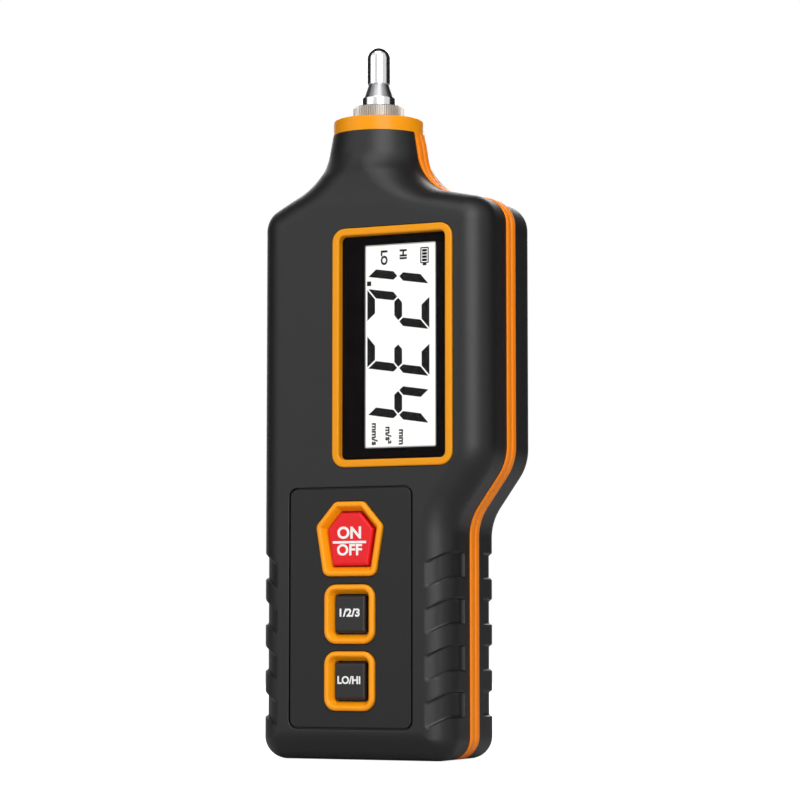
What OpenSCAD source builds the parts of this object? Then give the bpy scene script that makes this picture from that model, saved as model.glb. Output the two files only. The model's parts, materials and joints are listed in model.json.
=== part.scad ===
/* [Housing outline] */
// Height of the moulded housing, up to the collar
shell_h = 172.4; // [168:0.2:180]
// Half width of the grip
grip_half_w = 28.8; // [27:0.2:32]
// Reach of the display side to the right of the probe axis
head_reach = 39.8; // [37:0.2:44]
// Radius of the neck under the collar
neck_r = 12.7; // [12.2:0.1:13.4]
// How much wider the root of the neck is
neck_taper = 2.5; // [1.6:0.1:3.4]
// Height where the left side turns into its shoulder
left_shoulder_z = 149.5; // [147:0.5:152]
// Height where the right side turns into its shoulder
right_shoulder_z = 151; // [149:0.5:153]
// Fall of the left shoulder, in degrees
left_slope = 32.4; // [28:0.2:36]
// Fall of the right shoulder, in degrees
right_slope = 12.3; // [8:0.1:16]
// Rounding of the shoulders
shoulder_r = 7.4; // [6:0.2:10]
// Rounding of the two bottom corners
foot_r = 6.2; // [5:0.2:9]
// Rounding where the left shoulder meets the neck
left_neck_fillet_r = 12; // [10:0.5:16]
// Rounding where the right shoulder meets the neck
right_neck_fillet_r = 13.5; // [10:0.5:15]
// Rounding of the two bends in the right side
waist_r = 14; // [12:1:17]
// Height of the lower bend in the right side
waist_low_z = 64.8; // [63:0.2:67]
// Height of the upper bend in the right side
waist_high_z = 80.2; // [79:0.2:84]

/* [Housing depth] */
// Front face to seam
front_depth = 18; // [17:0.2:20]
// Seam to rear face
rear_depth = 16.2; // [16:0.2:18]
// Rounding of the front edges
front_edge_r = 8.2; // [7:0.2:9]
// Rounding of the rear edges
rear_edge_r = 5; // [4:0.2:6]
// Wall of both shells
wall = 2.2; // [2:0.1:2.6]
// Height where the flat front starts to turn into the round neck
flat_top_z = 150; // [146:1:154]
// Height from which the neck is round
round_z = 167; // [162:1:169]

/* [Trim band and collar] */
// Width of one band, from the seam
band_w = 3; // [2:0.1:3.6]
// Depth of the rebate that a band lies in
band_seat = 1.2; // [0.8:0.1:1.6]
// How far a band stands proud of the sides
band_proud = 0.45; // [0.2:0.05:0.8]
// Gap between a band and its rebate
band_gap = 0.05; // [0.03:0.01:0.1]
// Height of the collar on top of the neck
collar_h = 4.1; // [3:0.1:5]
// Radius of the collar
collar_r = 12.6; // [12.2:0.1:13.5]

/* [Grip pockets] */
// Number of pockets down each corner of the grip
pocket_count = 4; // [3:1:4]
// Distance from one pocket to the next
pocket_pitch = 12.5; // [11.5:0.1:12.6]
// Height of one pocket
pocket_h = 6.9; // [5:0.1:8]
// Depth of a pocket
pocket_depth = 0.7; // [0.4:0.1:0.9]
// Height of the top of the highest pocket, on the side
pocket_top_z = 56; // [54:0.5:58]
// Reach of a pocket round the corner, from the side
pocket_reach = 6.2; // [5:0.1:7]
// Drop of a pocket from the side to its inner end
pocket_drop = 2.4; // [1:0.1:3]
// Rim left between a pocket and the trim band
pocket_rim = 3.6; // [2:0.1:5]

/* [Display] */
// Middle of the display, to the right of the probe axis
display_x = 12.5; // [12:0.1:13.5]
// Height of the middle of the display
display_z = 111.6; // [110:0.2:113]
// Width of the bezel
bezel_w = 35.8; // [34:0.2:37]
// Height of the bezel
bezel_h = 65.4; // [64:0.2:67]
// Rim of the bezel round the window
bezel_rim = 2.1; // [1.8:0.1:2.6]
// Corner rounding of the bezel
bezel_r = 3.7; // [2.5:0.1:4.5]
// Depth of the bezel's seat in the front shell
bezel_seat = 1; // [0.8:0.1:1.2]
// How far the bezel stands proud
bezel_proud = 0.5; // [0.3:0.1:0.8]
// Ledge in the bezel that the window rests on
window_ledge = 0.8; // [0.6:0.1:1.2]
// Thickness of the window
window_t = 1.5; // [1:0.1:1.8]
// How far the window lies below the bezel's face
window_drop = 0.7; // [0.4:0.1:0.8]
// Thickness of the printed film behind the window
mask_t = 0.2; // [0.15:0.01:0.3]
// Width of the clear field in the film
field_w = 21.3; // [20:0.1:22.5]
// Height of the clear field in the film
field_h = 55.6; // [54:0.2:57]
// Offset of the clear field to the right of the display's middle
field_shift = 1.75; // [1:0.05:2]
// Thickness of the liquid crystal glass
lcd_t = 2.2; // [1.8:0.1:2.6]
// Glass that runs on past the clear field, on each side
lcd_margin = 2.6; // [2.2:0.1:3]
// Thickness of the backlight
backlight_t = 2; // [1.4:0.1:2.2]

/* [Keys] */
// Width of the key panel
panel_w = 37; // [35:0.5:38]
// Height of the key panel
panel_h = 65.2; // [64:0.2:66]
// Height of the lower edge of the key panel
panel_z = 8.4; // [8:0.2:9.5]
// Thickness of the key panel
panel_t = 1; // [0.8:0.1:1.2]
// Open groove round the key panel
panel_groove = 0.4; // [0.2:0.05:0.6]
// Corner rounding of the key panel
panel_r = 2.4; // [1.5:0.1:4]
// Height of the middle of the measure key
measure_z = 59.6; // [59:0.1:60]
// Height of the middle of the mode key
mode_z = 39.3; // [39:0.1:40]
// Height of the middle of the range key
range_z = 21.3; // [21:0.1:21.8]
// Half width of the measure key's surround at its widest
measure_half_w = 10; // [9:0.1:11]
// Height of the measure key's surround
measure_h = 20.2; // [19:0.1:20.4]
// Width of a small key's surround
small_w = 15; // [14:0.1:16]
// Height of a small key's surround
small_h = 16; // [15:0.1:16.6]
// Rim of a surround, from its outside to the key opening
surround_rim = 2.65; // [2.2:0.05:3]
// How far a surround's rim stands proud
surround_proud = 1; // [0.5:0.1:1.4]
// How far a surround's inner lip lies below the front face
lip_drop = 0.6; // [0.3:0.1:0.9]
// Thickness of the flange behind a surround
flange_t = 0.8; // [0.6:0.1:1]
// Gap between a key and its opening, all round
key_gap = 0.3; // [0.2:0.05:0.5]
// Travel of a key
key_travel = 0.5; // [0.3:0.05:0.7]
// How far a key's face lies below the front face
key_drop = 0.1; // [-0.2:0.05:0.3]

/* [Board] */
// Front face of the circuit board, from the seam
board_front = 9.5; // [9.3:0.1:9.8]
// Thickness of the circuit board
board_t = 1.6; // [1.2:0.1:1.7]
// Half width of the circuit board in the grip
board_half_w = 17.4; // [17:0.1:17.8]
// Height of the lower edge of the board
board_low_z = 6; // [5.5:0.1:7]
// Height of the upper edge of the board
board_high_z = 148; // [147:0.2:149]
// Side of a key switch
switch_w = 6; // [5:0.1:6.4]
// Height of a key switch's case
switch_h = 3.5; // [3:0.1:3.6]
// Radius of a key switch's plunger
plunger_r = 1.7; // [1.4:0.05:2]
// Running gap of a plunger in its switch
plunger_gap = 0.05; // [0.03:0.01:0.08]

/* [Battery] */
// Width of the block battery
battery_w = 26.5; // [26:0.1:26.6]
// Thickness of the block battery
battery_t = 17.5; // [17:0.1:17.6]
// Height of the block battery's case
battery_h = 46.4; // [46:0.1:46.6]
// Height of the battery's lower face
battery_z = 9; // [8.8:0.1:9.4]
// Gap between the battery and the walls of its bay
bay_gap = 0.9; // [0.6:0.1:1.2]
// Walls of the battery bay
bay_wall = 1.3; // [1:0.1:1.6]
// Height of the top of the bay's inside
bay_top_z = 64; // [63:0.2:66]
// Thickness of the battery door
door_t = 2; // [1.8:0.05:2.1]
// Tongue along each side of the door
door_tongue = 1.6; // [1.2:0.1:2]
// Thickness of the tongue
tongue_t = 0.8; // [0.6:0.05:0.9]
// Running gap round the door
door_gap = 0.15; // [0.1:0.01:0.25]
// Travel of the door
door_travel = 62; // [50:1:70]

/* [Sensor and probe] */
// Radius of the sensor case
sensor_r = 8.6; // [8:0.1:8.8]
// Height of the sensor case
sensor_h = 20; // [18:0.5:22]
// Wall of the sensor case
sensor_wall = 1.2; // [1:0.1:1.5]
// Radius of the threaded boss on the sensor
boss_r = 5; // [4.8:0.05:5.1]
// Running gap of the nut on the boss
nut_gap = 0.05; // [0.03:0.01:0.08]
// Radius of the knurled nut
nut_r = 7.2; // [6.8:0.1:7.8]
// Height of the knurled nut
nut_h = 4; // [3.8:0.1:4.2]
// Number of grooves in the knurl
knurl_count = 36; // [24:1:40]
// Thickness of the nut's top lip
nut_lip_t = 1; // [0.8:0.05:1.1]
// Thickness of the retaining ring on the probe
retainer_t = 1.1; // [0.9:0.05:1.2]
// Rise of the nut in one turn
thread_pitch = 1; // [0.75:0.05:1]
// Turns that free the nut from its boss
thread_turns = 3; // [2:1:3]
// Radius of the flange at the foot of the probe
probe_foot_r = 4.7; // [4.2:0.1:5.2]
// Height of that flange
probe_foot_h = 2.5; // [2:0.1:3]
// Radius of the bottom of the probe's cone
cone_low_r = 4.15; // [3.8:0.05:4.2]
// Radius of the top of the probe's cone
cone_high_r = 2.9; // [2.6:0.05:3]
// Height of the probe's cone
cone_h = 3.9; // [3:0.1:5]
// Radius of the probe's tip
tip_r = 3.25; // [3.1:0.05:3.6]
// Height of the probe's tip
tip_h = 10.6; // [8:0.1:14]

/* [Fasteners] */
// Shank radius of the case screws
case_screw_r = 1.4; // [1.2:0.05:1.5]
// Head radius of the case screws
case_head_r = 2.6; // [2.4:0.05:2.8]
// Head height of the case screws
case_head_h = 1.8; // [1.5:0.1:2]
// Radius of the case screw posts
post_r = 3.4; // [3.2:0.1:3.5]
// Shank radius of the board screws
board_screw_r = 1; // [0.9:0.05:1.1]
// Head radius of the board screws
board_head_r = 1.9; // [1.7:0.05:2]
// Radius of the board posts
board_post_r = 2.4; // [2.2:0.1:2.6]

/* [Hidden] */
// How far a cut runs past the face it opens
overrun = 1;
// Widest step round an arc of the outline, in degrees
arc_step = 9;
// Rings from the side to the front or rear face
edge_steps = 6;
// Sides of one ring of a lead
lead_sides = 8;
// Steps along a lead
lead_steps = 14;
// Least gap between two parts of the same assembly
fit_gap = 0.1;
// Least rounding of a corner of the flat face
least_r = 0.4;
// Clear space round the case screw posts
case_clearance = 0.6;

charcoal = [0.19, 0.19, 0.2];
orange = [0.93, 0.55, 0.08];
deep_orange = [0.9, 0.47, 0.1];
red = [0.85, 0.14, 0.15];
dark_grey = [0.24, 0.24, 0.25];
black = [0.06, 0.06, 0.06];
steel = [0.75, 0.75, 0.77];
board_green = [0.1, 0.4, 0.22];
brass = [0.8, 0.65, 0.3];
white = [0.93, 0.93, 0.9];

function unit(v) = v / norm(v);
function turned_left(v) = [-v[1], v[0]];
function spun(v, a) = [v[0] * cos(a) - v[1] * sin(a), v[0] * sin(a) + v[1] * cos(a)];
function mix(a, b, share) = a + (b - a) * share;
function clamped(v) = min(max(v, 0), 1);
function eased(v) = v * v * (3 - 2 * v);
function place(c) = [c[0], c[1]];
function flipped(faces) = [for (f = faces) [for (i = [len(f) - 1:-1:0]) f[i]]];

// Outline of the housing in the seam plane, as columns of [x, z, inward x, inward z]
function heading(from, to) = unit(place(to) - place(from));
function hand(d, e) = sign(d[0] * e[1] - d[1] * e[0]);
function turn(d, e) = acos(min(max(d * e, -1), 1));
function run_in(r, a) = r * tan(a / 2);

function fillet(a, c, b) =
    let (d = heading(a, c), e = heading(c, b), s = hand(d, e), angle = turn(d, e), r = c[2],
        start = place(c) - d * run_in(r, angle), n = turned_left(d), centre = start + n * r * s,
        steps = max(1, ceil(angle / arc_step)))
    [for (k = [0:steps]) let (m = spun(n, s * angle * k / steps)) concat(centre - m * r * s, m)];

function straight(from, to, count) =
    let (p = place(from), q = place(to), n = turned_left(unit(q - p)))
    [for (k = [1:1:count]) concat(mix(p, q, k / (count + 1)), n)];

function path(corners) =
    let (last = len(corners) - 1,
        bends = [for (i = [0:last])
            i == 0 ? [[corners[0][0], corners[0][1], 1, 0]]
            : i == last ? [[corners[last][0], corners[last][1], -1, 0]]
            : fillet(corners[i - 1], corners[i], corners[i + 1])])
    [for (i = [0:last]) each concat(bends[i],
        i == last ? [] : straight(bends[i][len(bends[i]) - 1], bends[i + 1][0], corners[i][3]))];

root_half_w = neck_r + neck_taper;
left_root_z = left_shoulder_z + (grip_half_w - root_half_w) * tan(left_slope);
right_root_z = right_shoulder_z + (head_reach - root_half_w) * tan(right_slope);

// Corners of the outline: x, z, rounding, extra columns on the straight that follows
corners = [
    [-neck_r, shell_h, 0, 4],
    [-root_half_w, left_root_z, left_neck_fillet_r, 1],
    [-grip_half_w, left_shoulder_z, shoulder_r, 0],
    [-grip_half_w, 0, foot_r, 0],
    [grip_half_w, 0, foot_r, 0],
    [grip_half_w, waist_low_z, waist_r, 0],
    [head_reach, waist_high_z, waist_r, 0],
    [head_reach, right_shoulder_z, shoulder_r, 2],
    [root_half_w, right_root_z, right_neck_fillet_r, 4],
    [neck_r, shell_h, 0, 0],
];

// The same outline drawn in by t, column for column; a bulge keeps a small rounding
function drawn_in(i, t) =
    let (c = corners[i], n = turned_left(heading(corners[i - 1], c)), m = turned_left(heading(c,
        corners[i + 1])),
        bulges = hand(heading(corners[i - 1], c), heading(c, corners[i + 1])) > 0)
    concat(place(c) + (n + m) * t / (1 + n * m), [bulges ? max(c[2] - t, least_r) : c[2] + t, c[3]]);
function outline_at(t) = let (last = len(corners) - 1)
    path([for (i = [0:last]) i == 0 ? corners[0] + [t, 0, 0, 0] : i == last ? corners[last] - [t, 0, 0,
        0] : drawn_in(i, t)]);
outline = outline_at(0);

function roundness(z) = eased(clamped((z - flat_top_z) / (round_z - flat_top_z)));

// A point of a column: level 0 lies at the seam side, the last level on the flat face.
// The body is a rounded slab and the neck is round; between them one turns into the other.
function body_turn(k) = 90 * max(k - 1, 0) / (edge_steps - 1);
function skin_point(rim, body, inset, depth, r, seam, k) =
    let (half_w = abs(rim[0]),
        neck_turn = mix(asin(seam / half_w), 87, k / edge_steps),
        neck_depth = min(half_w, root_half_w - inset) * sin(neck_turn),
        body_depth = k == 0 ? seam : depth - r + r * sin(body_turn(k)),
        spot = mix(place(body), [rim[0] * cos(neck_turn), rim[1]], roundness(rim[1])))
    [spot[0], -mix(body_depth, neck_depth, roundness(spot[1])), spot[1]];

// Triangles of one level between the left and right columns, walked down from the top
function zipped(cols, m, level, i, j, out = []) =
    let (step_left = cols[i + 1][1] >= cols[j - 1][1],
        next = step_left ? [i * m + level, (i + 1) * m + level, j * m + level]
            : [i * m + level, (j - 1) * m + level, j * m + level])
    i + 1 == j ? out
    : j - 1 == i + 1 ? concat(out, [[i * m + level, (i + 1) * m + level, j * m + level]])
    : zipped(cols, m, level, step_left ? i + 1 : i, step_left ? j : j - 1, concat(out, [next]));

module body_form(lead, inset, depth, r, seam) {
    m = len(lead) + edge_steps + 1;
    n = len(outline);
    starts = [for (p = lead) outline_at(p[0])];
    rim = outline_at(inset);
    bodies = [for (k = [0:edge_steps]) outline_at(inset + r * (1 - cos(body_turn(k))))];
    points = [for (i = [0:n - 1]) each concat(
        [for (j = [0:len(lead) - 1]) [starts[j][i][0], -lead[j][1], starts[j][i][1]]],
        [for (k = [0:edge_steps]) skin_point(rim[i], bodies[k][i], inset, depth, r, seam, k)])];
    walls = [for (i = [0:n - 2], k = [0:m - 2]) each [
        [i * m + k, (i + 1) * m + k, (i + 1) * m + k + 1],
        [i * m + k, (i + 1) * m + k + 1, i * m + k + 1]]];
    last = (n - 1) * m;
    stepped = len(lead) == 2;
    top = [for (k = [0:m - 2]) if (!stepped || k < 1 || k > 2) [k, k + 1, last + k + 1, last + k]];
    step = stepped ? [[last + 3, last + 2, last + 1, 1, 2, 3]] : [];
    polyhedron(points, concat(flipped(walls), flipped(top), flipped(step),
        flipped(zipped(outline, m, m - 1, 0, n - 1)), zipped(outline, m, 0, 0, n - 1)));
}

module hollow_form(depth, r) difference() {
    body_form([[band_seat, 0], [band_seat, band_w]], 0, depth, r, band_w);
    body_form([[wall, -overrun]], wall, depth - wall, r - wall, overrun);
}

// Extrusions along Y and along X, and round rods along Y
module slab(from, to) translate([0, to, 0]) rotate([90, 0, 0]) linear_extrude(to - from) children();
module across(half_w) rotate([90, 0, 90]) translate([0, 0,
    -half_w]) linear_extrude(2 * half_w) children();
module rod(x, z, r, from, to, sides = 48)
    translate([x, to, z]) rotate([90, 0, 0]) cylinder(h = to - from, r = r, $fn = sides);
module box(x0, x1, y0, y1, z0, z1) translate([x0, y0, z0]) cube([x1 - x0, y1 - y0, z1 - z0]);
module rounded(w, h, r) offset(r = r, $fn = 32) square([w - 2 * r, h - 2 * r], center = true);
module framed(w, h, r, x, z) translate([x, z]) rounded(w, h, r);

// A lead: a tube of flat sides along cubic curves that follow each other, each [a, b, c, d]
function curve(q, t) = q[0] * pow(1 - t, 3) + q[1] * 3 * t * pow(1 - t,
    2) + q[2] * 3 * t * t * (1 - t) + q[3] * pow(t, 3);
function crossed(u, v) = [u[1] * v[2] - u[2] * v[1], u[2] * v[0] - u[0] * v[2],
    u[0] * v[1] - u[1] * v[0]];
module tube(curves, r) {
    route = concat([curves[0][0]], [for (q = curves, i = [1:lead_steps]) curve(q, i / lead_steps)]);
    last = len(route) - 1;
    tail = curves[len(curves) - 1];
    function along(i) = i == 0 ? unit(curves[0][1] - curves[0][0]) : i == last ? unit(tail[3] - tail[2])
        : unit(route[i + 1] - route[i - 1]);
    points = [for (i = [0:last]) let (t = along(i), u = unit(crossed(t, [1, 0, 0])), v = crossed(t, u))
        for (k = [0:lead_sides - 1]) route[i] + (u * cos(360 * k / lead_sides) + v * sin(360 * k /
            lead_sides)) * r];
    sides = [for (i = [0:last - 1], k = [0:lead_sides - 1])
        let (next = (k + 1) % lead_sides, p = i * lead_sides, q = (i + 1) * lead_sides)
        each [[p + k, q + k, q + next], [p + k, q + next, p + next]]];
    ends = [[for (k = [0:lead_sides - 1]) k], [for (k = [lead_sides - 1:-1:0]) last * lead_sides + k]];
    polyhedron(points, concat(flipped(sides), flipped(ends)));
}

front_y = -front_depth;
front_inner_y = front_y + wall;
rear_inner_y = rear_depth - wall;
collar_top_z = shell_h + collar_h;

// Places of the case screws and of the board screws, and the height of the screw shoulder
case_post_x = board_half_w + post_r + case_clearance;
case_post_low_z = 2 * foot_r - fit_gap;
case_post_high_z = left_shoulder_z - 3 * post_r;
case_posts = [[-case_post_x, case_post_low_z], [case_post_x, case_post_low_z],
    [-case_post_x, case_post_high_z], [head_reach - wall - post_r - case_clearance, case_post_high_z]];
case_shoulder_y = rear_depth * 0.43;
case_shank_l = front_depth * 0.9;

// Grip pockets: slanted bars round the corner, less a core that leaves their floor
module pocket_outline() {
    inner_x = grip_half_w - pocket_reach;
    outer_x = grip_half_w + overrun;
    bend_x = grip_half_w - band_seat;
    for (k = [0:pocket_count - 1]) let (top = pocket_top_z - k * pocket_pitch, low = top - pocket_h)
        polygon([[inner_x, low - pocket_drop], [bend_x, low], [outer_x, low],
            [outer_x, top], [bend_x, top], [inner_x, top - pocket_drop]]);
}
module grip_core(depth, r) {
    half_w = grip_half_w - pocket_depth;
    core_r = r - pocket_depth;
    low_z = foot_r - overrun;
    translate([0, 0, low_z]) linear_extrude(pocket_top_z - low_z + overrun) union() {
        translate([-half_w, -depth + r]) square([2 * half_w, depth - r]);
        translate([-half_w + core_r, -depth + pocket_depth]) square([2 * (half_w - core_r),
            depth - pocket_depth]);
        for (s = [-1, 1]) translate([s * (half_w - core_r), -depth + r]) circle(r = core_r, $fn = 48);
    }
}
module grip_pockets(depth, r) difference() {
    for (s = [0, 1]) mirror([s, 0, 0]) slab(-depth - overrun, -band_w - pocket_rim) pocket_outline();
    grip_core(depth, r);
}

// Display: a bezel in the front shell, a window on its ledge, the glass behind
opening_w = bezel_w - 2 * bezel_rim;
opening_h = bezel_h - 2 * bezel_rim;
opening_r = bezel_r - bezel_rim / 2 - panel_t / 2;
bezel_skirt = bezel_rim / 2;
bezel_front_y = front_y - bezel_proud;
bezel_back_y = front_y + bezel_seat;
window_front_y = bezel_front_y + window_drop;
window_back_y = window_front_y + window_t;
ledge_back_y = window_back_y + window_ledge;
lcd_x = display_x + field_shift;
lcd_front_y = ledge_back_y + 3 * fit_gap;
lcd_back_y = lcd_front_y + lcd_t;
backlight_back_y = lcd_back_y + backlight_t;
lcd_w = field_w + 2 * lcd_margin;
lcd_h = field_h + 2 * lcd_margin;
holder_wall = window_ledge * 1.5;
holder_gap = 1.5 * fit_gap;

module display_area(grow) framed(opening_w + 2 * grow, opening_h + 2 * grow, opening_r + max(grow, 0),
    display_x, display_z);

module bezel_cut() {
    slab(front_y - overrun, bezel_back_y) framed(bezel_w, bezel_h, bezel_r, display_x, display_z);
    slab(bezel_back_y - overrun, front_inner_y + overrun) display_area(bezel_skirt);
}

module display_bezel() color(orange) difference() {
    union() {
        slab(bezel_front_y, bezel_back_y) framed(bezel_w - fit_gap, bezel_h - fit_gap, bezel_r,
            display_x, display_z);
        slab(bezel_back_y, ledge_back_y) display_area(bezel_skirt - fit_gap);
    }
    slab(bezel_front_y - overrun, window_back_y) display_area(0);
    slab(window_back_y - overrun, ledge_back_y + overrun) display_area(-window_ledge);
}

module display_window() color(black) slab(window_front_y, window_back_y) display_area(-fit_gap);

module window_mask() color(black) slab(window_back_y, window_back_y + mask_t) difference() {
    display_area(-window_ledge - fit_gap);
    translate([lcd_x, display_z]) square([field_w, field_h], center = true);
}

module lcd_plate(from, to, w, h) slab(from, to) translate([lcd_x, display_z]) square([w, h],
    center = true);
module lcd_glass() color(white) lcd_plate(lcd_front_y, lcd_back_y, lcd_w, lcd_h);
module lcd_backlight() color(white) lcd_plate(lcd_back_y, backlight_back_y, field_w, lcd_h);

module lcd_holder() color(white) {
    inner_w = lcd_w + 2 * holder_gap;
    inner_h = lcd_h + 2 * holder_gap;
    difference() {
        lcd_plate(lcd_front_y, -board_front, inner_w + 2 * holder_wall, inner_h + 2 * holder_wall);
        lcd_plate(lcd_front_y - overrun, -board_front + overrun, inner_w, inner_h);
    }
    lcd_plate(backlight_back_y + fit_gap, -board_front, field_w - 4 * fit_gap, inner_h + holder_wall);
}

module zebra_strips() color(dark_grey) for (s = [-1, 1])
    translate([s * (field_w + lcd_margin) / 2, 0, 0])
        lcd_plate(lcd_back_y, -board_front, lcd_margin * 0.6, field_h);

// Keys: surrounds through the panel and the shell, keys behind their openings
module key_panel_area(shrink) framed(panel_w - 2 * shrink, panel_h - 2 * shrink, panel_r, 0,
    panel_z + panel_h / 2);

// Corners of the measure key's surround, as shares of its half width and half height
measure_shares = [[-0.43, 1], [0.43, 1], [1, 0.35], [0.78, -1], [-0.78, -1], [-1, 0.35]];
measure_r = surround_rim * 0.8;
small_r = surround_rim * 1.3;
flange_w = surround_rim * 0.3;
lip_y = front_y + lip_drop;
surround_back_y = front_inner_y + flange_t;
key_front_y = front_y + key_drop;
key_flange_y = surround_back_y + fit_gap;
key_back_y = key_flange_y + flange_t;
switch_face_y = -board_front - switch_h;
plunger_l = switch_h * 0.8;

module measure_area(grow) translate([0, measure_z]) offset(r = measure_r,
    $fn = 32) offset(delta = grow - measure_r)
    polygon([for (p = measure_shares) [p[0] * measure_half_w, p[1] * measure_h / 2]]);
module small_area(z, grow) framed(small_w + 2 * grow, small_h + 2 * grow, max(small_r + grow, key_gap),
    0, z);

module surround() {
    difference() {
        union() {
            slab(front_y - surround_proud, front_inner_y) children(0);
            slab(front_inner_y, surround_back_y) children(1);
        }
        slab(front_y - surround_proud - overrun, surround_back_y + overrun) children(2);
        hull() {
            slab(lip_y - fit_gap, lip_y) children(3);
            slab(front_y - surround_proud - fit_gap, front_y - surround_proud) children(4);
        }
    }
}
module measure_surround() color(deep_orange) surround() {
    measure_area(0);
    measure_area(flange_w);
    measure_area(-surround_rim);
    measure_area(-surround_rim + fit_gap);
    measure_area(-surround_rim / 2);
}
module small_surround(z) color(deep_orange) surround() {
    small_area(z, 0);
    small_area(z, flange_w);
    small_area(z, -surround_rim);
    small_area(z, -surround_rim + fit_gap);
    small_area(z, -surround_rim / 2);
}
module mode_surround() small_surround(mode_z);
module range_surround() small_surround(range_z);

module key() {
    hull() {
        slab(key_front_y + key_gap, key_flange_y + flange_t / 2) children(0);
        slab(key_front_y, key_front_y + fit_gap) children(1);
    }
    slab(key_flange_y, key_back_y) children(2);
}
key_inset = surround_rim + key_gap;
module measure_key() color(red) key() {
    measure_area(-key_inset);
    measure_area(-key_inset - key_gap);
    measure_area(-key_inset + 2 * flange_w);
}
module small_key(z) color(dark_grey) key() {
    small_area(z, -key_inset);
    small_area(z, -key_inset - key_gap);
    small_area(z, -key_inset + 2 * flange_w);
}
module mode_key() small_key(mode_z);
module range_key() small_key(range_z);

module plunger(z) color(dark_grey) rod(0, z, plunger_r, key_back_y, key_back_y + plunger_l);
module measure_plunger() plunger(measure_z);
module mode_plunger() plunger(mode_z);
module range_plunger() plunger(range_z);

module key_switches() color(black) for (z = [measure_z, mode_z, range_z]) difference() {
    slab(switch_face_y, -board_front) translate([0, z]) square(switch_w, center = true);
    rod(0, z, plunger_r + plunger_gap, switch_face_y - overrun,
        key_back_y + plunger_l + key_travel + fit_gap);
}

// Shells
board_back_y = -board_front + board_t;
board_posts = [[-board_half_w + board_post_r + fit_gap, board_low_z + board_post_r + fit_gap],
    [board_half_w - board_post_r - fit_gap, board_low_z + board_post_r + fit_gap],
    [-board_half_w + board_post_r + fit_gap, waist_high_z],
    [-board_half_w + 2 * board_post_r, board_high_z - 2 * board_post_r]];

module front_shell() color(charcoal) difference() {
    union() {
        hollow_form(front_depth, front_edge_r);
        for (p = case_posts) rod(p[0], p[1], post_r - 4 * fit_gap, front_inner_y - wall / 2, 0);
        for (p = board_posts) rod(p[0], p[1], board_post_r, front_inner_y - wall / 2, -board_front);
    }
    grip_pockets(front_depth, front_edge_r);
    bezel_cut();
    slab(front_y - overrun, front_y + panel_t) key_panel_area(0);
    slab(front_y, front_inner_y + overrun) {
        measure_area(fit_gap);
        small_area(mode_z, fit_gap);
        small_area(range_z, fit_gap);
    }
    for (p = case_posts) rod(p[0], p[1], case_screw_r, front_inner_y + wall, overrun);
    for (p = board_posts) rod(p[0], p[1], board_screw_r, front_inner_y, -board_front + overrun);
}

module key_panel() color(charcoal) slab(front_y, front_y + panel_t - fit_gap / 2) difference() {
    key_panel_area(panel_groove);
    measure_area(fit_gap);
    small_area(mode_z, fit_gap);
    small_area(range_z, fit_gap);
}

// Battery bay, moulded into the rear shell, with rails for its door
door_inner_y = rear_depth - door_t;
battery_back_y = door_inner_y - 2.5 * fit_gap;
battery_front_y = battery_back_y - battery_t;
pad_t = bay_gap * 0.9;
bay_floor_y = battery_front_y - pad_t;
bay_half_w = battery_w / 2 + bay_gap;
bay_low_z = battery_z - bay_gap * 0.6;
door_half_w = bay_half_w + bay_gap * 0.7;
door_top_z = bay_top_z + bay_wall * 0.6;
rail_depth = bay_wall * 2;
rail_half_w = door_half_w + door_tongue + bay_wall;
notch_w = bay_wall * 5;
notch_h = bay_wall * 2;

module bay_block() {
    outer_w = bay_half_w + bay_wall;
    box(-outer_w, outer_w, bay_floor_y - bay_wall, door_inner_y - door_gap, bay_low_z - bay_wall,
        bay_top_z + bay_wall);
    box(-rail_half_w, rail_half_w, door_inner_y - door_gap - rail_depth, door_inner_y + wall / 2,
        wall / 2 + fit_gap, door_top_z + bay_wall);
}
// Side view of the door: flush with the rear face, rounded below like the housing
module door_profile(back_y, low_z, top_z, grow) intersection() {
    translate([back_y, low_z]) square([rear_depth + overrun - back_y, top_z - low_z]);
    union() {
        translate([0, rear_edge_r]) square([rear_depth + grow, top_z]);
        translate([rear_depth - rear_edge_r, rear_edge_r]) circle(r = rear_edge_r + grow, $fn = 96);
    }
}
module door_cut() {
    box(-door_half_w - door_gap, door_half_w + door_gap, door_inner_y - door_gap, rear_depth + overrun,
        -overrun, door_top_z + door_gap);
    tongue_half_w = door_half_w + door_tongue + door_gap;
    box(-tongue_half_w, tongue_half_w, door_inner_y - door_gap, door_inner_y + tongue_t + door_gap,
        -overrun, door_top_z + door_gap);
    box(-bay_half_w, bay_half_w, bay_floor_y, rear_depth + overrun, bay_low_z, bay_top_z);
    box(-notch_w / 2, notch_w / 2, bay_floor_y, bay_floor_y + notch_h, bay_top_z - overrun,
        bay_top_z + bay_wall + overrun);
}

module rear_shell() color(charcoal) difference() {
    union() {
        mirror([0, 1, 0]) hollow_form(rear_depth, rear_edge_r);
        bay_block();
        for (p = case_posts) rod(p[0], p[1], post_r, 0, rear_inner_y + wall / 2);
    }
    mirror([0, 1, 0]) grip_pockets(rear_depth, rear_edge_r);
    door_cut();
    for (p = case_posts) {
        rod(p[0], p[1], case_screw_r + fit_gap, -overrun, rear_depth);
        rod(p[0], p[1], case_head_r + 2 * fit_gap, case_shoulder_y, rear_depth + overrun);
    }
}

ridge_count = 6;
module battery_door() color(charcoal) difference() {
    union() {
        across(door_half_w) door_profile(door_inner_y, 0, door_top_z, 0);
        box(-door_half_w - door_tongue, door_half_w + door_tongue, door_inner_y, door_inner_y + tongue_t,
            rear_edge_r, door_top_z);
    }
    for (k = [1:ridge_count]) translate([0, 0, door_top_z - k * 2 * door_t - door_t])
        box(-door_half_w / 2, door_half_w / 2, rear_depth - door_t / 4, rear_depth + overrun, 0,
            door_t / 2);
}

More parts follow.
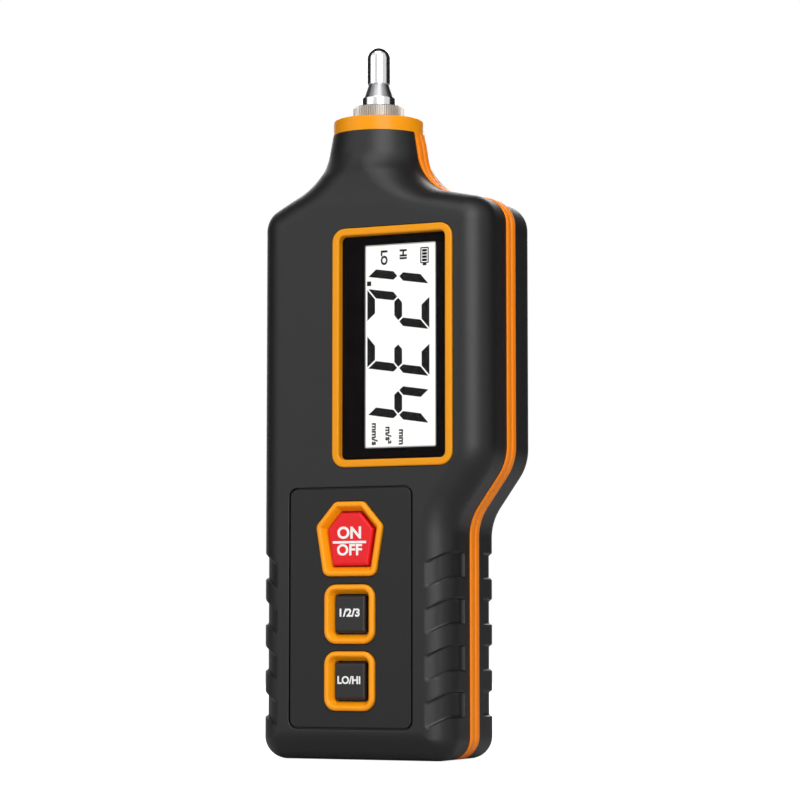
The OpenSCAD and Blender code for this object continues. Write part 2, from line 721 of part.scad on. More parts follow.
// Trim bands in the seam, each with its half of the collar
function proud_at(z) = band_proud * eased(clamped(z / foot_r));
module band_profile() polygon(concat(
    [for (c = outline) [c[0] - c[2] * proud_at(c[1]), c[1] - c[3] * proud_at(c[1])]],
    [for (i = [len(outline) - 1:-1:0]) let (c = outline[i], t = band_seat - band_gap) [c[0] + c[2] * t,
        c[1] + c[3] * t]]));
module half_band() color(orange) difference() {
    union() {
        slab(-band_w + band_gap, 0) band_profile();
        intersection() {
            translate([0, 0, shell_h]) cylinder(h = collar_h, r = collar_r, $fn = 96);
            box(-2 * collar_r, 2 * collar_r, -2 * collar_r, 0, 0, 2 * shell_h);
        }
    }
    translate([0, 0, shell_h - overrun]) cylinder(h = collar_h + 2 * overrun, r = boss_r + 3 * fit_gap,
        $fn = 64);
}
module front_band() half_band();
module rear_band() mirror([0, 1, 0]) half_band();

// Circuit board and what it carries
module main_board() color(board_green) difference() {
    slab(-board_front, board_back_y) {
        translate([-board_half_w, board_low_z]) square([2 * board_half_w, board_high_z - board_low_z]);
        translate([-board_half_w, display_z - lcd_h / 2 - wall])
            square([lcd_x + lcd_w / 2 + holder_gap + holder_wall + board_half_w, lcd_h + 2 * wall]);
    }
    for (p = board_posts) rod(p[0], p[1], board_screw_r + fit_gap, -board_front - overrun,
        board_back_y + overrun);
}
module chip(x, z, w, h, t) slab(board_back_y, board_back_y + t) translate([x, z]) square([w, h],
    center = true);
chip_t = board_t * 0.8;
module processor_chip() color(black) chip(lcd_x / 2, display_z, lcd_w / 2.5, lcd_w / 2.5, chip_t);
module amplifier_chips() color(black) for (k = [0, 1])
    chip(-board_half_w / 3, display_z + lcd_w * (0.8 + 0.3 * k) - lcd_w * 0.2, lcd_w / 5, lcd_w / 6,
        chip_t);
module crystal() color(steel) chip(lcd_x, display_z - lcd_w * 0.6, lcd_w / 2.6, lcd_w / 6, chip_t * 1.2);
module capacitors() color(dark_grey) for (k = [0,
    1]) translate([board_half_w / 2 - k * board_half_w / 2, board_back_y, waist_high_z])
    rotate([-90, 0, 0]) cylinder(h = 3 * board_t, r = 1.7 * board_t, $fn = 32);
socket_x = -board_half_w * 0.3;
socket_z = board_high_z - 3 * board_t;
socket_w = 4 * board_t;
module sensor_socket() color(white) difference() {
    chip(socket_x, socket_z, socket_w, 2 * board_t, 2 * board_t);
    box(socket_x - socket_w / 2 + board_t / 2, socket_x + socket_w / 2 - board_t / 2,
        board_back_y + board_t / 2,
        board_back_y + 1.5 * board_t, socket_z, socket_z + 2 * board_t);
}
module screw(x, z, head_y, head_h, head_r, shank_r, end_y) {
    rod(x, z, head_r, min(head_y, head_y + head_h), max(head_y, head_y + head_h));
    rod(x, z, shank_r - fit_gap / 2, end_y, head_y);
}
module board_screws() color(steel) for (p = board_posts)
    screw(p[0], p[1], board_back_y, board_head_r / 1.5, board_head_r, board_screw_r,
        front_inner_y + fit_gap);
module case_screws() color(steel) for (p = case_posts)
    screw(p[0], p[1], case_shoulder_y, case_head_h, case_head_r, case_screw_r,
        case_shoulder_y - case_shank_l);

// Battery, its snap connector, its leads and its pad
terminal_r = battery_t * 0.17;
terminal_h = battery_h * 0.05;
battery_mid_y = (battery_front_y + battery_back_y) / 2;
battery_top_z = battery_z + battery_h;
snap_low_z = battery_top_z + terminal_h + fit_gap;
snap_h = terminal_h * 1.2;
module battery() color(black) {
    box(-battery_w / 2, battery_w / 2, battery_front_y, battery_back_y, battery_z, battery_top_z);
    for (s = [-1, 1]) translate([s * battery_w / 4, battery_mid_y, battery_top_z])
        cylinder(h = terminal_h, r = terminal_r, $fn = s > 0 ? 6 : 48);
}
module battery_snap() color(black)
    box(-battery_w / 2 + terminal_h, battery_w / 2 - terminal_h, battery_mid_y - 2 * terminal_r,
        battery_mid_y + 2 * terminal_r,
        snap_low_z, snap_low_z + snap_h);
lead_r = terminal_r / 4;
module battery_leads() for (s = [-1, 1]) color(s > 0 ? red : black)
    let (x = s * notch_w / 4, top = snap_low_z + snap_h, y = bay_floor_y + notch_h / 2,
        sill_z = bay_top_z + bay_wall / 2, end_z = sill_z + notch_h * 3)
    tube([[[x, battery_mid_y, top], [x, battery_mid_y, top + snap_h], [x, y, sill_z - 1.5 * snap_h],
        [x, y, sill_z]],
        [[x, y, sill_z], [x, y, mix(sill_z, end_z, 0.5)], [x, y, end_z], [x, board_back_y, end_z]]],
            lead_r);
module battery_pad() color(dark_grey)
    box(-battery_w / 3, battery_w / 3, bay_floor_y, battery_front_y, battery_z + pad_t,
        battery_top_z - pad_t);

// Sensor in the neck: base with its boss, piezo stack, mass and bolt, in a screwed can
flange_r = min(sensor_r + 6 * fit_gap, neck_r - wall - 4 * fit_gap);
flange_h = sensor_wall * 2;
sensor_top_z = shell_h - flange_h;
nut_low_z = collar_top_z + fit_gap;
nut_high_z = nut_low_z + nut_h;
lip_low_z = nut_high_z - nut_lip_t;
boss_top_z = lip_low_z - retainer_t - fit_gap;
stub_r = boss_r * 0.48;
stub_low_z = boss_top_z - boss_r * 0.8;
bolt_r = stub_r * 0.83;
ring_bore_r = bolt_r + 2 * fit_gap;
disc_r = sensor_r - sensor_wall - fit_gap * 8;
disc_t = sensor_wall * 1.25;
washer_t = sensor_wall * 0.4;
electrode_t = sensor_wall * 0.2;
mass_h = sensor_h * 0.34;
washer_low_z = sensor_top_z - washer_t;
disc_high_z = washer_low_z - disc_t;
electrode_z = disc_high_z - electrode_t;
disc_low_z = electrode_z - disc_t;
mass_low_z = disc_low_z - mass_h;
bolt_head_h = bolt_r * 1.25;

module ring(z, h, r, bore) translate([0, 0, z]) difference() {
    cylinder(h = h, r = r, $fn = 64);
    translate([0, 0, -overrun]) cylinder(h = h + 2 * overrun, r = bore, $fn = 48);
}
module sensor_base() color(steel) difference() {
    union() {
        translate([0, 0, sensor_top_z]) cylinder(h = flange_h, r = flange_r, $fn = 64);
        translate([0, 0, sensor_top_z]) cylinder(h = boss_top_z - sensor_top_z, r = boss_r, $fn = 64);
    }
    translate([0, 0, stub_low_z - fit_gap]) cylinder(h = boss_top_z, r = stub_r + nut_gap, $fn = 48);
    translate([0, 0, sensor_top_z - overrun]) cylinder(h = overrun + flange_h * 0.8, r = bolt_r,
        $fn = 48);
}
module sensor_case() color(steel) difference() {
    translate([0, 0, sensor_top_z - sensor_h]) cylinder(h = sensor_h, r = sensor_r, $fn = 64);
    translate([0, 0, sensor_top_z - sensor_h + sensor_wall]) cylinder(h = sensor_h,
        r = sensor_r - sensor_wall, $fn = 64);
    for (z = isolation_zs) ring(z, ring_r, sensor_r + overrun, sensor_r - ring_seat);
}
module insulating_washer() color(white) ring(washer_low_z, washer_t, disc_r, ring_bore_r);
module piezo_discs() color(brass) {
    ring(disc_high_z, disc_t, disc_r, ring_bore_r);
    ring(disc_low_z, disc_t, disc_r, ring_bore_r);
}
module electrode_ring() color(brass) ring(electrode_z, electrode_t, disc_r, ring_bore_r);
module seismic_mass() color(steel) ring(mass_low_z, mass_h, disc_r + 3 * fit_gap, ring_bore_r);
module preload_bolt() color(steel) {
    translate([0, 0, mass_low_z - bolt_head_h]) cylinder(h = bolt_head_h, r = 2 * bolt_r, $fn = 6);
    translate([0, 0, mass_low_z]) cylinder(h = sensor_top_z + flange_h * 0.7 - mass_low_z, r = bolt_r,
        $fn = 48);
}
ring_r = sensor_wall;
ring_seat = sensor_wall * 0.4;
isolation_zs = [sensor_top_z - 3 * ring_r, sensor_top_z - sensor_h + 2 * ring_r];
module isolation_rings() color(black) for (z = isolation_zs)
    ring(z + fit_gap / 2, ring_r - fit_gap, neck_r - wall - fit_gap, sensor_r - ring_seat);
module sensor_lead() color(dark_grey) let (low = sensor_top_z - sensor_h)
    tube([[[-lead_r, sensor_r / 2, low], [-lead_r, sensor_r / 2, low - socket_w / 2],
        [socket_x, board_back_y + board_t, socket_z + socket_w], [socket_x, board_back_y + board_t,
            socket_z + board_t]]], lead_r);

// Probe: knurled union nut, captive between the probe's foot and a pressed ring
knurl_depth = nut_r * 0.05;
shank_r = boss_r * 0.64;
foot_low_z = nut_high_z + fit_gap;
cone_z = foot_low_z + probe_foot_h;
tip_z = cone_z + cone_h;
module knurled_nut() color(steel) difference() {
    translate([0, 0, nut_low_z]) linear_extrude(nut_h) polygon([for (k = [0:2 * knurl_count - 1])
        let (r = nut_r - (k % 2) * knurl_depth, a = 180 * k / knurl_count) [r * cos(a), r * sin(a)]]);
    translate([0, 0, nut_low_z - overrun]) cylinder(h = nut_h - nut_lip_t + overrun,
        r = boss_r + nut_gap, $fn = 64);
    translate([0, 0, nut_low_z]) cylinder(h = nut_h + overrun, r = shank_r + nut_gap, $fn = 48);
}
module probe_retainer() color(steel) ring(boss_top_z, retainer_t, probe_foot_r, stub_r);
module probe_tip() color(steel) {
    translate([0, 0, stub_low_z]) cylinder(h = lip_low_z - fit_gap - stub_low_z, r = stub_r, $fn = 48);
    translate([0, 0, lip_low_z - fit_gap]) cylinder(h = nut_high_z - lip_low_z + 2 * fit_gap,
        r = shank_r, $fn = 48);
    rotate_extrude($fn = 96) probe_profile();
}
// Half section of the probe: foot, cone, neck, and a tip with a round end
module probe_profile() {
    translate([0, foot_low_z]) square([probe_foot_r, probe_foot_h]);
    polygon([[0, cone_z], [cone_low_r, cone_z], [cone_high_r, tip_z], [0, tip_z]]);
    translate([0, tip_z]) square([tip_r, tip_h - tip_r]);
    intersection() {
        translate([0, tip_z + tip_h - tip_r]) circle(r = tip_r, $fn = 96);
        translate([0, tip_z]) square([tip_r, tip_h]);
    }
}

front_shell();
rear_shell();
front_band();
rear_band();
display_bezel();
display_window();
window_mask();
lcd_glass();
lcd_backlight();
lcd_holder();
zebra_strips();
key_panel();
measure_surround();
mode_surround();
range_surround();
measure_key();
mode_key();
range_key();
measure_plunger();
mode_plunger();
range_plunger();
key_switches();
main_board();
processor_chip();
amplifier_chips();
crystal();
capacitors();
sensor_socket();
board_screws();
case_screws();
battery();
battery_snap();
battery_leads();
battery_pad();
battery_door();
sensor_base();
sensor_case();
insulating_washer();
piezo_discs();
electrode_ring();
seismic_mass();
preload_bolt();
isolation_rings();
sensor_lead();
knurled_nut();
probe_retainer();
probe_tip();
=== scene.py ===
import json
import math

import bmesh
import bpy
import numpy as np
from mathutils import Matrix, Vector


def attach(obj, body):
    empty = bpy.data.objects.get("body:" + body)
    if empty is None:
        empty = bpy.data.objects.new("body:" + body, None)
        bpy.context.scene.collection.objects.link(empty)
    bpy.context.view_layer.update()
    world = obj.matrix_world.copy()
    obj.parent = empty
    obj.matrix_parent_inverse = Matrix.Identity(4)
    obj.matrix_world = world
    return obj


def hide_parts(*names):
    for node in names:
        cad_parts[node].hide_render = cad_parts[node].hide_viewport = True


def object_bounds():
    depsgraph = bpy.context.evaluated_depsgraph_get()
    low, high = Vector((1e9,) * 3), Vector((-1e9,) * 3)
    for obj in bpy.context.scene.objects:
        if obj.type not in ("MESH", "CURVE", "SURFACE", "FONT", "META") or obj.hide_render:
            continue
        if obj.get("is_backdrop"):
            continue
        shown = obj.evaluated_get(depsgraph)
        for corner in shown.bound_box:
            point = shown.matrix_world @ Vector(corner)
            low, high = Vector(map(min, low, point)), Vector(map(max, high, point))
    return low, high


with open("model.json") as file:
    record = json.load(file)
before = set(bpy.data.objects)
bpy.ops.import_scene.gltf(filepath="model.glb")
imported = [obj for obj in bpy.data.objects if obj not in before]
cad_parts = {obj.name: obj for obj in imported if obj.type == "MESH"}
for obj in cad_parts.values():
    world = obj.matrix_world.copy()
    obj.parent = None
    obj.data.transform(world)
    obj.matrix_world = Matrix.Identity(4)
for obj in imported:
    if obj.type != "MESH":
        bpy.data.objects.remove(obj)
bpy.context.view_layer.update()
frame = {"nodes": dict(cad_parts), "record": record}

MM = 0.001

# -------- camera

# The view that was fitted to the photo: where the camera stands, in millimetres, and where it looks.
VIEW_TURN, VIEW_TILT = math.radians(25), math.radians(4.838)
CAMERA_PLACE = (331.2, -696.2, 33.4)
SENSOR_WIDTH, FOCAL_LENGTH = 36, 125.55

camera = bpy.data.objects.new("camera", bpy.data.cameras.new("camera"))
bpy.context.scene.collection.objects.link(camera)
camera.data.sensor_width = SENSOR_WIDTH
camera.data.lens = FOCAL_LENGTH
camera.location = Vector(CAMERA_PLACE) * MM
level = math.cos(VIEW_TILT)
aim = Vector((-math.sin(VIEW_TURN) * level, math.cos(VIEW_TURN) * level, math.sin(VIEW_TILT)))
camera.rotation_euler = aim.to_track_quat("-Z", "Y").to_euler()
bpy.context.scene.camera = camera

# -------- node writing


class Wire:
    """A socket in a node tree, with arithmetic."""

    def __init__(self, tree, socket):
        self.tree, self.socket = tree, socket

    def _math(self, operation, *values):
        return self.tree.add("ShaderNodeMath", dict(enumerate(values)), operation=operation)

    def __add__(self, other): return self._math("ADD", self, other)
    def __radd__(self, other): return self._math("ADD", other, self)
    def __sub__(self, other): return self._math("SUBTRACT", self, other)
    def __mul__(self, other): return self._math("MULTIPLY", self, other)
    def __truediv__(self, other): return self._math("DIVIDE", self, other)
    def __gt__(self, other): return self._math("GREATER_THAN", self, other)
    def __lt__(self, other): return self._math("LESS_THAN", self, other)

    def between(self, low, high):
        """A value from 0 to 1, spread over a range."""
        return self * (high - low) + low


class Tree:
    """A node tree that is written as expressions."""

    def __init__(self, nodes):
        self.nodes = nodes

    def add(self, kind, inputs=None, output=0, **settings):
        """Any node: its settings first, then the values or wires of its sockets, by name or number."""
        node = self.nodes.nodes.new(kind)
        for name, value in settings.items():
            setattr(node, name, value)
        for name, value in (inputs or {}).items():
            socket = node.inputs[name]
            if isinstance(value, Wire):
                self.nodes.links.new(value.socket, socket)
            else:
                socket.default_value = value
        return Wire(self, node.outputs[output])


def linear(*rgb):
    """A colour read off in 0 to 255, as the light it stands for."""
    shares = [v / 255 for v in rgb]
    return tuple(v / 12.92 if v <= 0.04045 else ((v + 0.055) / 1.055) ** 2.4 for v in shares)


class Finish(Tree):
    """A material with one Principled shader. Varying inputs go in by name."""

    def __init__(self, name, **constants):
        self.material = bpy.data.materials.new(name)
        self.material.use_nodes = True
        super().__init__(self.material.node_tree)
        self.shader = self.nodes.nodes["Principled BSDF"]
        for key, value in constants.items():
            socket = self.shader.inputs[key.replace("_", " ")]
            socket.default_value = (*value, 1) if isinstance(value, tuple) else value
        self.place = self.add("ShaderNodeTexCoord", output="Object")

    def along(self, axis):
        """Millimetres along X (0), Y (1) or Z (2)."""
        return self.add("ShaderNodeSeparateXYZ", {0: self.place}, output=axis) * 1000

    def noise(self, size, detail=2.0, rough=0.5, stretch=None):
        """Noise between 0 and 1, whose blots are about size millimetres across."""
        place = self.place
        if stretch:
            place = self.add("ShaderNodeMapping", {"Vector": place, "Scale": stretch})
        return self.add("ShaderNodeTexNoise", {
            "Vector": place, "Scale": 1000 / size, "Detail": detail, "Roughness": rough})

    def tint(self, share, low, high):
        """A colour between two, by a share from 0 to 1; either colour can be a wire."""
        low, high = [c if isinstance(c, Wire) else (*c, 1) for c in (low, high)]
        return self.add("ShaderNodeMix", {0: share, 6: low, 7: high}, output=2, data_type="RGBA")

    def feed(self, **wires):
        for name, wire in wires.items():
            self.nodes.links.new(wire.socket, self.shader.inputs[name.replace("_", " ")])

    def bump(self, height, depth):
        """Relief of a depth in millimetres."""
        self.feed(Normal=self.add("ShaderNodeBump", {"Strength": 1.0, "Distance": depth * MM, "Height": height}))


def moulded(name, colour, roughness, grain=0.25, depth=0.01, vary=0.06, **constants):
    """Moulded plastic: a fine spark-eroded grain, faint flow marks and slight wear in its gloss."""
    f = Finish(name, **constants)
    pale, dark = [tuple(c * (1 + vary * sign) for c in colour) for sign in (1, -1)]
    flow_marks, wear = f.noise(14, 3), f.noise(6, 3)
    f.feed(Base_Color=f.tint(flow_marks, dark, pale), Roughness=wear.between(roughness - 0.04, roughness + 0.04))
    f.bump(f.noise(grain, 2, 0.6), depth)
    return f.material


def metal(name, colour, roughness, stretch=(1, 1, 1), dull=0.1, shine=1.0):
    """Plated or turned metal: fine tool marks along one direction, and a breath of tarnish."""
    f = Finish(name, Metallic=shine)
    marks, haze = f.noise(0.5, 3, 0.6, stretch), f.noise(4, 3)
    f.feed(Base_Color=f.tint(haze, tuple(c * (1 - dull) for c in colour), colour),
           Roughness=marks.between(roughness * 0.7, roughness * 1.3))
    f.bump(marks, 0.004)
    return f.material


def plated():
    """The probe: polished plate, with a satin cone under the tip."""
    f = Finish("probe_chrome", Metallic=1.0)
    z = f.along(2)
    cone = (z > 183.3) * (z < 187.05)
    marks = f.noise(0.5, 3, 0.6, (0.15, 0.15, 8))
    f.feed(Base_Color=f.tint(cone, (0.88, 0.88, 0.9), (0.36, 0.36, 0.37)),
           Roughness=cone * 0.16 + marks.between(0.13, 0.19))
    f.bump(marks, 0.0003)
    return f.material


def banded():
    """The trim: orange along the seam, and a yellower orange on the collar."""
    f = Finish("orange_trim", Specular_IOR_Level=0.24)
    collar = f.along(2) > 172.3
    f.feed(Base_Color=f.tint(collar, linear(250, 136, 3), linear(242, 152, 8)),
           Roughness=f.noise(6, 3).between(0.36, 0.44) - collar * 0.1)
    f.bump(f.noise(0.3), 0.005)
    return f.material


def sheathed():
    """The battery leads are red and black: the side of the axis says which."""
    f = Finish("lead_sheath", Roughness=0.42)
    f.feed(Base_Color=f.tint(f.along(0) > 0.0, linear(30, 30, 31), linear(190, 26, 24)))
    f.bump(f.noise(0.5), 0.01)
    return f.material


def circuit_board():
    """Solder mask with copper tracks under it, on a grid."""
    f = Finish("circuit_board", Coat_Weight=0.3)
    upright = f.add("ShaderNodeMapping", {"Vector": f.place, "Rotation": (math.radians(90), 0, 0)})
    tracks = f.add("ShaderNodeTexBrick", {
        "Vector": upright, "Scale": 1.0, "Mortar Size": 0.00018, "Brick Width": 0.0061, "Row Height": 0.0017,
        "Mortar Smooth": 0.3}, output="Fac", offset=0.37)
    mask = f.tint(f.noise(3, 3), linear(14, 74, 42), linear(22, 92, 54))
    f.feed(Base_Color=f.tint(tracks * 0.7, mask, linear(60, 140, 76)), Roughness=tracks.between(0.42, 0.3))
    f.bump(tracks, 0.03)
    return f.material


def battery_can():
    """A block battery in a printed sleeve: black, with a copper-coloured shoulder and a plain white stripe."""
    f = Finish("battery_sleeve", Coat_Weight=0.4)
    z = f.along(2)
    band = (z > 43.0) * (z < 54.6)
    stripe = (z > 41.2) * (z < 42.2)
    scuff = f.noise(2.2, 4, 0.7)
    sleeve = f.tint(scuff, linear(22, 22, 24), linear(32, 32, 34))
    sleeve = f.tint(band, sleeve, linear(196, 112, 46))
    sleeve = f.tint(stripe, sleeve, linear(228, 228, 224))
    f.feed(Base_Color=sleeve, Metallic=band * 0.8, Roughness=scuff.between(0.26, 0.4))
    return f.material


def foamed():
    """Foam: open cells, painted darker in their hollow middles as shade, so the walls are paler."""
    f = Finish("foam", Roughness=0.95)
    cells = f.add("ShaderNodeTexVoronoi", {"Vector": f.place, "Scale": 1600.0})
    # painted shade in the hollow middle of each cell
    f.feed(Base_Color=f.tint(cells, linear(30, 30, 31), linear(62, 62, 64)))
    f.bump(cells, 0.2)
    return f.material


def fired():
    """Piezo ceramic: pale, dense, faintly speckled."""
    f = Finish("piezo_ceramic", Roughness=0.55)
    f.feed(Base_Color=f.tint(f.noise(0.6, 3), linear(214, 200, 164), linear(232, 220, 190)))
    f.bump(f.noise(0.3), 0.01)
    return f.material


def clear():
    """The window: clear, hard-coated, so nearly all that shows of it is gloss."""
    f = Finish("clear_window", Roughness=0.04, Alpha=0.05, IOR=1.49)
    f.feed(Base_Color=f.tint(f.noise(20), linear(14, 16, 18), linear(18, 20, 22)))
    return f.material


def display_with_painted_glow():
    """The display's glass: a pale ground with a painted glow, which makes up for the light that the clear window in
    front of it takes away.
    """
    f = Finish("display_ground", Roughness=0.32, Emission_Strength=0.3, Emission_Color=(1, 1, 1))
    f.feed(Base_Color=f.tint(f.noise(18, 2), linear(240, 240, 235), linear(246, 246, 242)))
    f.bump(f.noise(0.12), 0.002)
    return f.material


def ink_and_painted_shade(name, colour, roughness):
    """Printed ink, a little uneven; the grey line of painted shade round the display's clear field is made the same
    way.
    """
    f = Finish(name, Specular_IOR_Level=0.12)
    f.feed(Base_Color=f.tint(f.noise(0.8, 3), tuple(c * 0.94 for c in colour), colour),
           Roughness=f.noise(0.5).between(roughness - 0.05, roughness + 0.05))
    return f.material


FINISH = {
    "housing": moulded("charcoal_housing", linear(23, 23, 24), 0.43, 0.28, 0.012, Specular_IOR_Level=0.42),
    "housing_panel": moulded("charcoal_panel", linear(27, 27, 28), 0.48, 0.24, 0.008, Specular_IOR_Level=0.32),
    "trim": banded(),
    "bezel": moulded("orange_bezel", linear(231, 148, 10), 0.4, 0.3, 0.004, 0.02, Specular_IOR_Level=0.25),
    "surround": moulded("orange_surround", linear(252, 158, 12), 0.32, 0.3, 0.003, 0.03, Specular_IOR_Level=0.3),
    "red_key": moulded("red_key", linear(228, 26, 34), 0.36, 0.3, 0.005, 0.03, Specular_IOR_Level=0.3),
    "grey_key": moulded("grey_key", linear(36, 34, 35), 0.36, 0.3, 0.006, Specular_IOR_Level=0.36),
    "window_print": moulded("window_print", linear(6, 3, 4), 0.2, 0.3, 0.0, 0.0, Specular_IOR_Level=0.0),
    "white_plastic": moulded("white_plastic", linear(226, 224, 216), 0.45, 0.4, 0.006, 0.03),
    "conductive_rubber": moulded("black_rubber", linear(28, 28, 29), 0.75, 0.3, 0.02),
    "switch_plastic": moulded("switch_plastic", linear(34, 34, 36), 0.4, 0.3, 0.006),
    "backlight": moulded("light_guide", linear(240, 240, 232), 0.35, 0.5, 0.003, 0.02),
    "chip": moulded("chip_resin", linear(38, 38, 40), 0.6, 0.2, 0.01),
    "can_metal": metal("can_metal", (0.72, 0.72, 0.74), 0.3),
    "screw_steel": metal("screw_zinc", (0.6, 0.61, 0.64), 0.32, dull=0.15),
    "sensor_steel": metal("turned_steel", (0.62, 0.62, 0.64), 0.26, (0.2, 0.2, 6)),
    "brass": metal("brass", (0.75, 0.52, 0.2), 0.3, dull=0.15),
    "nut_metal": metal("nut_nickel", linear(186, 180, 172), 0.46, (0.4, 0.4, 3), shine=0.8),
    "probe_chrome": plated(),
    "lead_sheath": sheathed(),
    "board": circuit_board(),
    "battery_case": battery_can(),
    "foam": foamed(),
    "piezo": fired(),
    "window": clear(),
    # the display's glass, with a painted glow
    "lcd": display_with_painted_glow(),
}
segment_ink = ink_and_painted_shade("segment_black", linear(17, 15, 16), 0.4)
# painted shade: the grey of the line round the display's clear field
painted_edge_shade = ink_and_painted_shade("painted_field_shade", linear(186, 188, 186), 0.45)
label_ink = ink_and_painted_shade("label_white", linear(244, 244, 242), 0.45)


def finished(piece, slot, material=None):
    piece.data.materials.clear()
    piece.data.materials.append(material or FINISH[slot])
    return piece


# -------- mesh making


def shown(name, data):
    piece = bpy.data.objects.new(name, data)
    bpy.context.scene.collection.objects.link(piece)
    return piece


def solid(name, points, faces):
    """A piece from points in millimetres."""
    mesh = bpy.data.meshes.new(name)
    mesh.from_pydata([tuple(float(v) * MM for v in p) for p in points], [], faces)
    mesh.update()
    return shown(name, mesh)


def settled(piece):
    """Applies what its modifiers make of a piece."""
    bpy.context.view_layer.update()
    graph = bpy.context.evaluated_depsgraph_get()
    mesh = bpy.data.meshes.new_from_object(piece.evaluated_get(graph))
    piece.modifiers.clear()
    piece.data = mesh
    return piece


def dropped(*pieces):
    for piece in pieces:
        bpy.data.objects.remove(piece)


def worked(piece, *steps):
    """Adds and cuts solids in turn: steps are ("+", tool) and ("-", tool)."""
    for sign, tool in steps:
        work = piece.modifiers.new("work", "BOOLEAN")
        work.operation = "UNION" if sign == "+" else "DIFFERENCE"
        work.solver = "MANIFOLD"
        work.object = tool
    settled(piece)
    dropped(*[tool for sign, tool in steps])
    return piece


def smooth(piece, angle=40):
    """Rounded faces shade round, flat faces stay flat, edges past the angle stay sharp."""
    for face in piece.data.polygons:
        face.use_smooth = True
    piece.data.set_sharp_from_angle(angle=math.radians(angle))
    even = piece.modifiers.new("even", "WEIGHTED_NORMAL")
    even.mode = "FACE_AREA"
    even.weight = 100
    even.keep_sharp = True
    return piece


def bevelled(piece, width, levels=2, angle=30):
    bevel = piece.modifiers.new("bevel", "BEVEL")
    bevel.width = width * MM
    bevel.segments = levels
    bevel.limit_method = "ANGLE"
    bevel.angle_limit = math.radians(angle)
    return settled(piece)


def outward(piece):
    """Turns all faces to the outside."""
    work = bmesh.new()
    work.from_mesh(piece.data)
    bmesh.ops.recalc_face_normals(work, faces=work.faces)
    work.to_mesh(piece.data)
    work.free()
    return piece


def mirrored(piece):
    """The same form on the other side of the seam."""
    piece.data.transform(Matrix.Scale(-1, 4, (0, 1, 0)))
    return outward(piece)


def rings_faces(rings, count, closed):
    """Faces between rings of count points; the first and last ring are filled where they aren't joined."""
    faces = []
    for i in range(rings if closed else rings - 1):
        j = (i + 1) % rings
        for k in range(count):
            m = (k + 1) % count
            faces.append((i * count + k, i * count + m, j * count + m, j * count + k))
    if not closed:
        faces.append(tuple(range(count))[::-1])
        faces.append(tuple((rings - 1) * count + k for k in range(count)))
    return faces


def lofted(name, rings, closed=False):
    """A solid through rings of equal length; closed joins the last ring to the first, as in a frame."""
    points = [p for ring in rings for p in ring]
    return outward(solid(name, points, rings_faces(len(rings), len(rings[0]), closed)))


def unit(v):
    return v / np.linalg.norm(v)


def left(v):
    return np.array((-v[1], v[0]))


def spun(v, angle):
    """A flat vector, turned anticlockwise."""
    c, s = math.cos(angle), math.sin(angle)
    return np.array((v[0] * c - v[1] * s, v[0] * s + v[1] * c))


def angle_between(v, w):
    return math.acos(max(-1, min(1, v @ w)))


def quarter(r, steps):
    """Points of a quarter circle about (0, 0), from (r, 0) to (0, r)."""
    angles = [math.pi / 2 * k / steps for k in range(steps + 1)]
    return [(r * math.cos(a), r * math.sin(a)) for a in angles]


def circle(r, steps, x=0.0, y=0.0):
    """Points round a centre, in a plane."""
    angles = [2 * math.pi * k / steps for k in range(steps)]
    return [(x + r * math.cos(a), y + r * math.sin(a)) for a in angles]


def rounded(corners, r, grow=0.0, steps=8):
    """Points of a convex outline with rounded corners, its inside on the left, grown by an amount."""
    points = [np.array(c, float) for c in corners]
    out = []
    for i, corner in enumerate(points):
        before, after = unit(corner - points[i - 1]), unit(points[(i + 1) % len(points)] - corner)
        side, next_side = -left(before), -left(after)
        moved = corner + (side + next_side) * grow / (1 + side @ next_side)
        turn = angle_between(before, after)
        bend = max(r + grow, 0.05)
        centre = moved - (side + next_side) / (1 + side @ next_side) * bend
        out += [centre + bend * spun(side, turn * k / steps) for k in range(steps + 1)]
    return out


def box_corners(x, z, w, h):
    return [(x - w / 2, z - h / 2), (x + w / 2, z - h / 2), (x + w / 2, z + h / 2), (x - w / 2, z + h / 2)]


def laid(points, y):
    """Flat points, put in the plane of the front at a depth."""
    return [(x, y, z) for x, z in points]


def scaled(points, share, z=0.0):
    """Flat points, drawn to a share of their size about the point at height z on the axis."""
    return [(p[0] * share, (p[1] - z) * share + z) for p in points]


def plate(name, corners, r, profile, closed=False, steps=8):
    """A form over an outline on the front: profile lists how far it grows, and its y."""
    return lofted(name, [laid(rounded(corners, r, grow, steps), y) for grow, y in profile], closed)


def turned(name, profile, hollow=False, steps=96):
    """A lathe-turned form about the probe axis, by radius and height from bottom to top.

    Where it is hollow, the profile goes all the way round its section.
    """
    return lofted(name, [[(x, y, z) for x, y in circle(r, steps)] for r, z in profile], hollow)


def barrel(name, x, z, profile, steps=40):
    """A round form along Y, by radius and y."""
    return lofted(name, [laid(circle(r, steps, x, z), y) for r, y in profile])


def rod(name, x, z, r, low_y, high_y):
    """A round bar along Y."""
    return barrel(name, x, z, [(r, low_y), (r, high_y)])


def brick(name, x, y, z, edge=0.0, levels=2):
    """A block between limits, with rounded edges where edge is above 0."""
    points = [(x[i & 1], y[i >> 1 & 1], z[i >> 2]) for i in range(8)]
    faces = [(0, 1, 3, 2), (4, 5, 7, 6), (0, 1, 5, 4), (2, 3, 7, 6), (0, 2, 6, 4), (1, 3, 7, 5)]
    piece = outward(solid(name, points, faces))
    return bevelled(piece, edge, levels) if edge else piece


def eased(v):
    v = np.clip(v, 0, 1)
    return v * v * (3 - 2 * v)


# -------- housing form

# height of the shells, half width of the grip, and how far the head reaches to the right
SHELL_H, GRIP, REACH = 172.4, 28.8, 39.8
